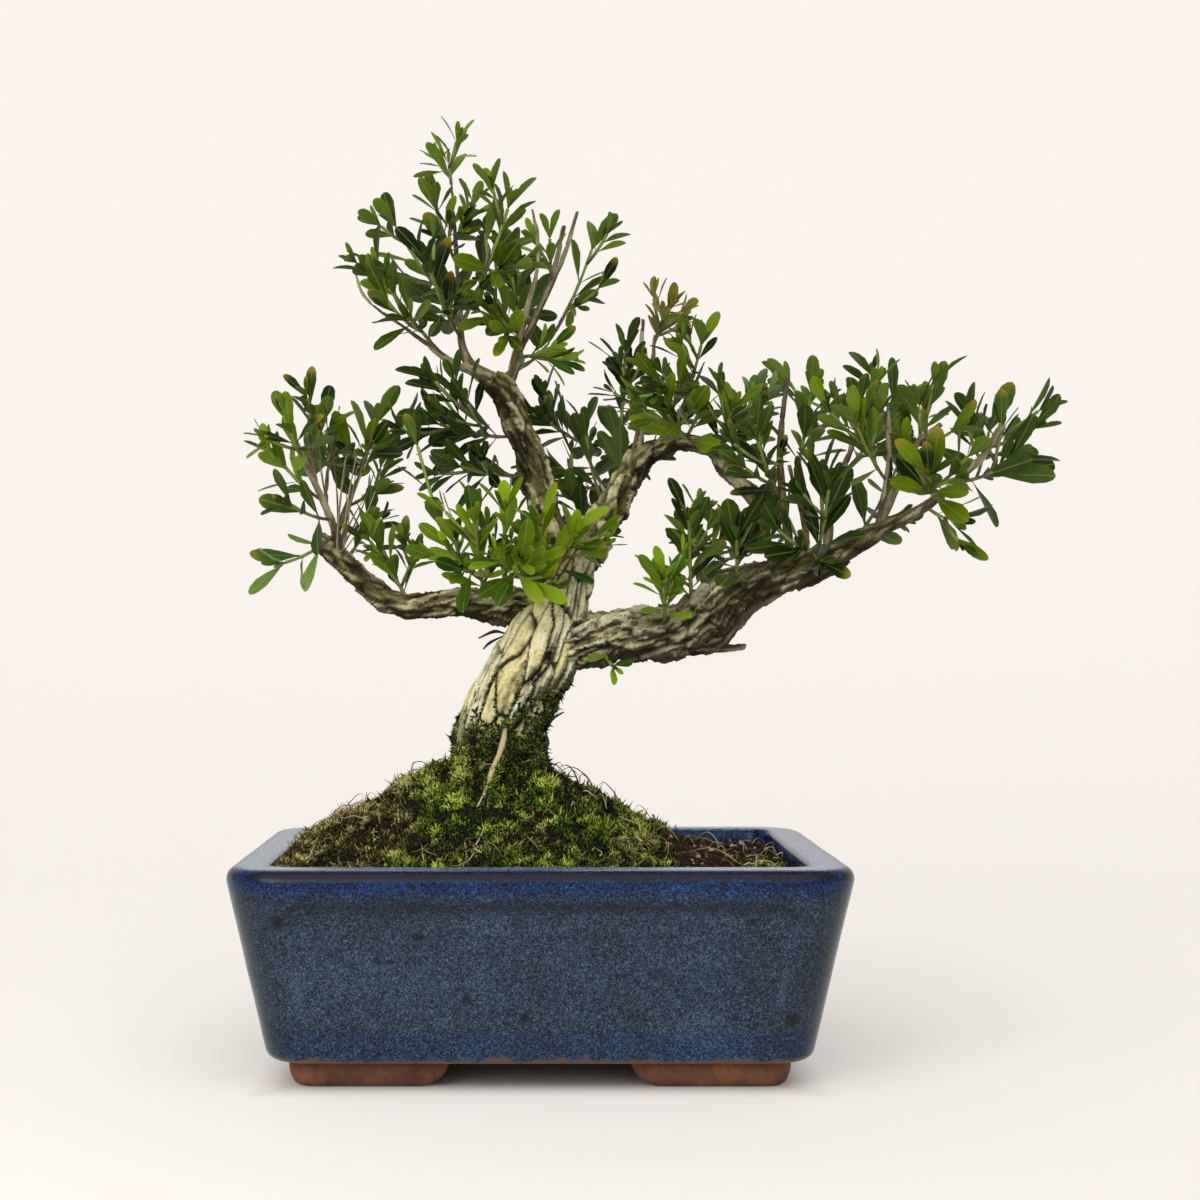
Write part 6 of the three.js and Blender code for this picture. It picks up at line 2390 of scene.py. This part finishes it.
@dataclass(frozen=True)
class BoxwoodBark:
    """Old boxwood bark, weathered: pale corky plates, olive where algae grow, near black in the cracks, with
    painted shade in them and the hollows, and dark on the undersides: partly damp, partly painted shade.
    """

    plates: Stops = (
        (0.0, "#bcab5e"), (0.3, "#eadd9c"), (0.6, "#fbf4ca"), (1.0, "#fffbe6"))
    limbs: Stops = ((0.2, "#2b220f"), (0.48, "#7c7142"), (0.78, "#e2d8a8"))
    twigs: Stops = ((0.2, "#43392a"), (0.5, "#776a51"), (0.85, "#bcb492"))
    # Near black in the cracks: partly the split bark's own dark, partly painted shade
    crack: str = "#0f0b06"
    algae: str = "#6f6c34"
    damp: str = "#343319"
    # Dark brown of the undersides, partly damp bark and partly painted shade, and of the hollows, painted shade
    under: str = "#2b2412"
    fleck: str = "#3a321f"
    strengths: tuple[tuple[str, float], ...] = (
        ("flake", 0.6), ("plate", 0.45), ("girth", 1.0), ("low", 0.7), ("under", 0.9), ("hollow", 0.85),
        ("crack", 0.95))

    def make(self) -> Finish:
        """Mixes the bark.

        Returns:
            The material.
        """
        canvas = Canvas("weathered_boxwood_bark")
        add, place = canvas.add, canvas.place
        notes = {}
        for name, strength in self.strengths:
            kept = add("Attribute", take="Fac", attribute_name=name)
            notes[name] = add("Math", {0: kept, 1: strength}, operation="MULTIPLY")
        tone = add("Math", {0: notes["flake"], 1: notes["plate"]}, operation="ADD")
        twig, limb, plate = (add("ValToRGB", {"Fac": tone}, stops=stops)
                             for stops in (self.twigs, self.limbs, self.plates))
        young = add("MapRange", {"Value": notes["girth"], "From Min": 2.0, "From Max": 4.5})
        old = add("MapRange", {"Value": notes["girth"], "From Min": 7.5, "From Max": 13.0})
        green = add("TexNoise", {"Vector": place, "Scale": per_mm(15), "Detail": 4.0, "Roughness": 0.6})
        green = add("MapRange", {"Value": green, "From Min": 0.5, "From Max": 0.75, "To Max": 0.4})
        fleck = add("TexNoise", {"Vector": place, "Scale": per_mm(1.3), "Detail": 4.0, "Roughness": 0.65})
        spots = add("MapRange", {"Value": fleck, "From Min": 0.56, "From Max": 0.68, "To Max": 0.6})
        colour = twig
        layers = ((young, limb), (old, plate), (green, self.algae), (notes["low"], self.damp),
                  (notes["under"], self.under), (notes["hollow"], self.under), (spots, self.fleck),
                  (notes["crack"], self.crack))
        for share, shade in layers:
            colour = add("Mix", {0: share, 6: colour, 7: shade}, **BLEND)
        bump = add("Bump", {"Height": fleck, "Distance": 0.0007, "Strength": 1.0})
        return canvas.finish({"Base Color": colour, "Roughness": 0.86, "IOR": 1.45, "Specular IOR Level": 0.2,
                              "Normal": bump})


@dataclass(frozen=True)
class BoxLeaf:
    """A boxwood leaf, waxed on top by nature: a glossy blade with a paler midrib, fine slanting veins and a
    matt, paler back.
    """

    name: str
    dark: str
    light: str
    back: str
    rib: str = "#87994a"

    def make(self) -> tuple[Finish, Finish]:
        """Mixes the blade's top and its back.

        Returns:
            The two materials.
        """
        top = self.side("waxy_boxwood_leaf_" + self.name, self.dark, self.light, 0.36, 0.35)
        back = self.side("boxwood_leaf_back_" + self.name, self.dark, self.back, 0.55, 0.8)
        return top, back

    def side(self, name: str, dark: str, light: str, roughness: float, floor: float) -> Finish:
        """Mixes one side of the blade.

        Args:
            name: The material's name.
            dark: Its darkest colour.
            light: Its lightest colour.
            roughness: How matt it is.
            floor: How light the darkest leaf is, between the two colours.

        Returns:
            The material.
        """
        canvas = Canvas(name)
        add, place = canvas.add, canvas.place
        tone, spot, along, across = (add("Attribute", take="Fac", attribute_name=name)
                                     for name in ("tone", "spot", "along", "across"))
        cloud = add("TexNoise", {"Vector": place, "Scale": per_mm(5), "Detail": 3.0})
        share = add("MapRange", {"Value": tone, "To Min": floor - 0.5, "To Max": floor + 0.55})
        share = add("Math", {0: cloud, 1: 0.4, 2: share}, operation="MULTIPLY_ADD")
        share = add("MapRange", {"Value": share, "From Min": 0.15, "From Max": 1.05})
        colour = add("Mix", {0: share, 6: dark, 7: light}, **BLEND)
        side = add("Math", {0: across}, operation="ABSOLUTE")
        rib = add("MapRange", {"Value": side, "From Min": 0.1, "From Max": 0.02, "To Max": 0.4})
        colour = add("Mix", {0: rib, 6: colour, 7: self.rib}, **BLEND)
        worn = add("MapRange", {"Value": spot, "From Min": 0.8, "From Max": 0.95})
        tip = add("MapRange", {"Value": along, "From Min": 0.75, "From Max": 1.0})
        worn = add("Math", {0: worn, 1: tip}, operation="MULTIPLY")
        colour = add("Mix", {0: worn, 6: colour, 7: "#8f7a22"}, **BLEND)
        veins = add("Math", {0: side, 1: -0.35, 2: along}, operation="MULTIPLY_ADD")
        veins = add("Math", {0: veins, 1: 130.0}, operation="MULTIPLY")
        veins = add("Math", {0: veins}, operation="SINE")
        fine = add("Bump", {"Height": veins, "Distance": 0.00006, "Strength": 0.35})
        groove = add("MapRange", {"Value": side, "From Min": 0.0, "From Max": 0.16})
        bump = add("Bump", {"Height": groove, "Distance": 0.0003, "Strength": 0.5, "Normal": fine})
        return canvas.finish({
            "Base Color": colour, "Roughness": roughness, "IOR": 1.45, "Specular IOR Level": 0.12,
            "Subsurface Weight": 0.08, "Subsurface Scale": 0.001, "Subsurface Radius": (0.4, 1.0, 0.15),
            "Normal": bump})


LEAF_TONES = {
    LeafTone.DEEP: BoxLeaf("deep", "#111d05", "#3c500a", "#465c20"),
    LeafTone.MID: BoxLeaf("mid", "#1b2b05", "#687d0e", "#5e7426"),
    LeafTone.FRESH: BoxLeaf("fresh", "#2f5006", "#88a416", "#7c962e"),
    LeafTone.LIME: BoxLeaf("lime", "#274305", "#84a00d", "#728c1e"),
    LeafTone.PALE: BoxLeaf("pale", "#3f5c22", "#7c9644", "#82965c"),
    LeafTone.OLIVE: BoxLeaf("olive", "#5f5a16", "#958628", "#8a8045"),
}


@dataclass(frozen=True)
class GreenStem:
    """A young boxwood shoot: smooth green skin that browns towards the bark."""

    green: str = "#7a8f3a"
    brown: str = "#5f4a2c"

    def make(self) -> Finish:
        """Mixes the stem.

        Returns:
            The material.
        """
        canvas = Canvas("green_boxwood_stem")
        add = canvas.add
        along = add("Attribute", take="Fac", attribute_name="along")
        streak = add("TexNoise", {"Vector": canvas.place, "Scale": per_mm(2), "Detail": 2.0})
        share = add("Math", {0: streak, 1: 0.5, 2: along}, operation="MULTIPLY_ADD")
        share = add("MapRange", {"Value": share, "From Min": 0.45, "From Max": 0.9})
        colour = add("Mix", {0: share, 6: self.brown, 7: self.green}, **BLEND)
        return canvas.finish({"Base Color": colour, "Roughness": 0.5, "IOR": 1.45})


@dataclass(frozen=True)
class DampSoil:
    """Granular bonsai soil, watered: dark crumbs, redder where it is bare, brown-green and darker under moss,
    partly as painted shade in the gaps between cushions.
    """

    bare: Stops = ((0.3, "#0b0603"), (0.5, "#22150b"), (0.68, "#3f2715"), (0.8, "#55391f"))
    # Darker under the moss: the soil's own damp dark, and painted shade in the gaps between cushions
    covered: Stops = ((0.35, "#0b0a05"), (0.55, "#1d1a0c"), (0.75, "#383119"))

    def make(self) -> Finish:
        """Mixes the soil.

        Returns:
            The material.
        """
        canvas = Canvas("damp_granular_soil")
        add, place = canvas.add, canvas.place
        crumb = add("TexNoise", {"Vector": place, "Scale": per_mm(1.8), "Detail": 4.0, "Roughness": 0.65})
        bare = add("Attribute", take="Fac", attribute_name="bare")
        open_soil = add("ValToRGB", {"Fac": crumb}, stops=self.bare)
        under_moss = add("ValToRGB", {"Fac": crumb}, stops=self.covered)
        colour = add("Mix", {0: bare, 6: under_moss, 7: open_soil}, **BLEND)
        bump = add("Bump", {"Height": crumb, "Distance": 0.0012, "Strength": 1.0})
        return canvas.finish({"Base Color": colour, "Roughness": 0.9, "IOR": 1.4, "Specular IOR Level": 0.15,
                              "Normal": bump})


@dataclass(frozen=True)
class MossShoots:
    """Living moss: soft matt shoots, bleached where it is dry; dark at the foot and light at the tip,
    lighter on cushion tops, darker in the gaps: partly its own tone, partly painted light and shade.
    """

    green: Stops = ((0.2, "#040602"), (0.45, "#162604"), (0.72, "#4e6a0c"), (0.95, "#bcc648"))
    dry: Stops = ((0.2, "#060501"), (0.45, "#221d08"), (0.72, "#5c5320"), (0.95, "#c8bb7c"))

    def make(self) -> Finish:
        """Mixes the moss.

        Returns:
            The material.
        """
        canvas = Canvas("living_moss")
        add = canvas.add
        tip, tone, patch, dry = (add("Attribute", take="Fac", attribute_name=name)
                                 for name in ("tip", "tone", "patch", "dry"))
        # Lighter with the patch, on cushion tops, and towards each shoot's tip: partly the moss's own tone,
        # partly painted light and shade
        share = add("Math", {0: tone, 1: 0.35}, operation="MULTIPLY")
        share = add("Math", {0: patch, 1: 0.55, 2: share}, operation="MULTIPLY_ADD")
        share = add("Math", {0: tip, 1: 0.4, 2: share}, operation="MULTIPLY_ADD")
        green = add("ValToRGB", {"Fac": share}, stops=self.green)
        parched = add("ValToRGB", {"Fac": share}, stops=self.dry)
        colour = add("Mix", {0: dry, 6: green, 7: parched}, **BLEND)
        return canvas.finish({"Base Color": colour, "Roughness": 0.75, "IOR": 1.4, "Specular IOR Level": 0.2})


@dataclass(frozen=True)
class Grit:
    """Crushed fired clay and pumice: matt grains, from near black through red-brown to cream."""

    shades: Stops = (
        (0.0, "#0c0703"), (0.3, "#25160b"), (0.6, "#452b17"), (0.85, "#6e4e30"), (1.0, "#b4a078"))

    def make(self) -> Finish:
        """Mixes the grit.

        Returns:
            The material.
        """
        canvas = Canvas("fired_clay_grit")
        tone = canvas.add("Attribute", take="Fac", attribute_name="tone")
        dust = canvas.add("TexNoise", {"Vector": canvas.place, "Scale": per_mm(0.5), "Detail": 2.0})
        share = canvas.add("Math", {0: dust, 1: 0.3}, operation="MULTIPLY")
        share = canvas.add("Math", {0: tone, 1: 0.85, 2: share}, operation="MULTIPLY_ADD")
        colour = canvas.add("ValToRGB", {"Fac": share}, stops=self.shades)
        return canvas.finish({"Base Color": colour, "Roughness": 0.9, "IOR": 1.45, "Specular IOR Level": 0.2})


@dataclass(frozen=True)
class DryGrass:
    """Dead grass and leaf stalks, dried on the soil: black-brown to straw, a little glossy."""

    shades: Stops = ((0.0, "#1e160c"), (0.45, "#57472b"), (0.8, "#a08c5c"), (1.0, "#cdbf95"))

    def make(self) -> Finish:
        """Mixes the straw.

        Returns:
            The material.
        """
        canvas = Canvas("dry_grass")
        tone = canvas.add("Attribute", take="Fac", attribute_name="tone")
        colour = canvas.add("ValToRGB", {"Fac": tone}, stops=self.shades)
        return canvas.finish({"Base Color": colour, "Roughness": 0.55, "IOR": 1.45})


@dataclass(frozen=True)
class MeshPlastic:
    """Black polypropylene, extruded as net: matt, with a faint dusting of soil."""

    black: str = "#17181a"
    dust: str = "#3a3129"

    def make(self) -> Finish:
        """Mixes the plastic.

        Returns:
            The material.
        """
        canvas = Canvas("black_polypropylene_net")
        grain = canvas.add("TexNoise", {"Vector": canvas.place, "Scale": per_mm(1.5), "Detail": 3.0})
        share = canvas.add("MapRange", {"Value": grain, "From Min": 0.45, "From Max": 0.75, "To Max": 0.7})
        colour = canvas.add("Mix", {0: share, 6: self.black, 7: self.dust}, **BLEND)
        bump = canvas.add("Bump", {"Height": grain, "Distance": 0.0001, "Strength": 0.5})
        return canvas.finish({"Base Color": colour, "Roughness": 0.55, "IOR": 1.49, "Normal": bump})


@dataclass(frozen=True)
class PaperBackdrop:
    """Matt off-white paper, rolled out, that glows evenly of itself as painted light, save where the pot stands
    on it, a painted shadow: no pattern and almost no shine.
    """

    middle: Point
    # Where the pot stands, in metres: the paper has no glow there, a painted shadow
    shadow_footprint: Point = (0.106, 0.074, 10.0)
    shade: str = "#cdc9c3"
    light: str = "#f5f1ec"
    glow: float = 0.35

    def make(self) -> Finish:
        """Mixes the paper.

        Returns:
            The material.
        """
        canvas = Canvas("off_white_backdrop_paper")
        add = canvas.add
        # No glow over the pot's footprint: a painted shadow under the pot
        away = add("VectorMath", {0: canvas.place, 1: self.middle}, operation="SUBTRACT")
        away = add("VectorMath", {0: away}, operation="ABSOLUTE")
        away = add("VectorMath", {0: away, 1: self.shadow_footprint}, operation="SUBTRACT")
        past = [add("SeparateXYZ", {0: away}, take=axis) for axis in (0, 1)]
        edge = add("Math", {0: past[0], 1: past[1]}, operation="MAXIMUM")
        glow = add("MapRange", {"Value": edge, "From Min": -0.01, "From Max": 0.015, "To Max": self.glow})
        return canvas.finish({"Base Color": self.shade, "Roughness": 0.95, "IOR": 1.45,
                              "Emission Color": self.light, "Emission Strength": glow})


@dataclass
class Studio:
    """The plain backdrop, the soft lights and the camera, all placed from the middle of the pot."""

    bench: Bench
    lens: float = 58.32
    eye: Point = (-5.0, -875.0, 184.3)
    shift: Pair = (0.06, 0.035)
    floor_reach: float = 5600.0
    cove: float = 5000.0
    cove_steps: int = 16
    world: str = "#f6f4f0"
    world_strength: float = 0.5
    sun_from: Point = (-60.0, -700.0, 1000.0)
    sun_strength: float = 1.6
    sun_width: float = 80.0
    box_from: Point = (-430.0, -760.0, 430.0)
    box_size: float = 500.0
    box_power: float = 2.6
    aim: Point = (0.0, 0.0, 180.0)

    def build(self) -> None:
        """Sets the whole studio up."""
        self.backdrop()
        self.light()
        self.camera()

    def backdrop(self) -> None:
        """Rolls the paper out over the floor and up behind, in one sweep."""
        reach, cove = self.floor_reach, self.cove
        profile = [(-reach, 0.0)]
        for i in range(self.cove_steps + 1):
            turn = i / self.cove_steps * math.pi / 2
            profile.append((reach - cove + cove * math.sin(turn), cove * (1 - math.cos(turn))))
        profile.append((reach, reach))
        points = [(x, y, z) for y, z in profile for x in (-reach, reach)]
        faces = [[2 * i, 2 * i + 1, 2 * i + 3, 2 * i + 2] for i in range(len(profile) - 1)]
        paper = self.bench.mesh("backdrop", np.array(points), faces)
        bpy.ops.object.shade_smooth()
        paper.data.materials.append(PaperBackdrop(tuple(self.bench.middle)).make())

    def light(self) -> None:
        """Hangs the soft lights, each aimed at the tree, in an even pale room."""
        world = bpy.data.worlds.new("studio")
        bpy.context.scene.world = world
        world.use_nodes = True
        ground = world.node_tree.nodes["Background"]
        ground.inputs["Color"].default_value = linear(self.world)
        ground.inputs["Strength"].default_value = self.world_strength
        sun = self.lamp("key", "SUN", self.sun_from)
        sun.energy = self.sun_strength
        sun.angle = math.radians(self.sun_width)
        box = self.lamp("soft_box", "AREA", self.box_from)
        box.shape, box.size, box.energy = "DISK", self.box_size / 1000, self.box_power

    def lamp(self, name: str, kind: str, place: Point) -> bpy.types.Light:
        """Hangs one lamp, aimed at the middle of the tree.

        Args:
            name: The lamp's name.
            kind: Its type.
            place: Where it hangs, in mm.

        Returns:
            Its light.
        """
        bpy.ops.object.light_add(type=kind, location=tuple(self.bench.metres(np.array(place))))
        lamp = bpy.context.object
        lamp.name = name
        aim = Vector(self.bench.metres(np.array(self.aim)))
        lamp.rotation_euler = (aim - lamp.location).to_track_quat("-Z", "Y").to_euler()
        return lamp.data

    def camera(self) -> None:
        """Sets the camera level, at the height and distance that the pot's outline gives."""
        place = tuple(self.bench.metres(np.array(self.eye)))
        bpy.ops.object.camera_add(location=place, rotation=(math.pi / 2, 0, 0))
        camera = bpy.context.object
        camera.data.lens = self.lens
        camera.data.shift_x, camera.data.shift_y = self.shift
        bpy.context.scene.camera = camera


HEAVY = ("upper_right", "apex", "left", "right", "right_low", "right_snag")
ROOTS = tuple(name for name in LIMBS if name.startswith("root"))


def main() -> None:
    """Builds the studio and every piece of the tree and its pot."""
    logging.basicConfig(level=logging.INFO, format="%(name)s %(message)s")
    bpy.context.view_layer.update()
    bench = Bench()
    form = PotForm()
    mound = Mound(form)
    Studio(bench).build()
    Pot(bench, form).build()
    soil = Soil(bench, mound).build()
    bark = [BoxwoodBark().make()]
    base = ("trunk", *ROOTS)
    thin = tuple(name for name in LIMBS if name not in base + HEAVY)
    trunk = Timber(bench, LIMBS, "trunk_and_roots", base, 0.66, gloom=-0.12)
    limbs = Timber(
        bench, LIMBS, "limbs", HEAVY, 0.76, plate=(4.2, 4.2, 15.0), twist=-0.02, crack_edge=(0.02, 0.1),
        crack_depth=0.6, crack_tone=0.7, plate_step=3.2, step_edge=0.09, bulge=0.1, shag=2.7, ridge=3.0,
        knob=0.24, knob_size=8.0, full_girth=9.0, gloom=0.42)
    branchlets = Timber(bench, LIMBS, "branchlets", thin, 0.66)
    stem = trunk.build(bark, ("trunk",))
    limbs.build(bark, ())
    branchlets.build(bark, ())
    DeadTwigs(bench).build(bark)
    Foliage(bench, SPRAYS, LIMBS).build()
    Moss(bench, mound).build(soil, stem)
    Litter(bench, mound).build(soil)
    net = MeshPlastic().make()
    for side in ("left", "right"):
        screen = bpy.data.objects["drain_screen_" + side]
        screen.data.materials.clear()
        screen.data.materials.append(net)
    bpy.context.scene.view_settings.view_transform = "Standard"


if __name__ == "__main__":
    main()
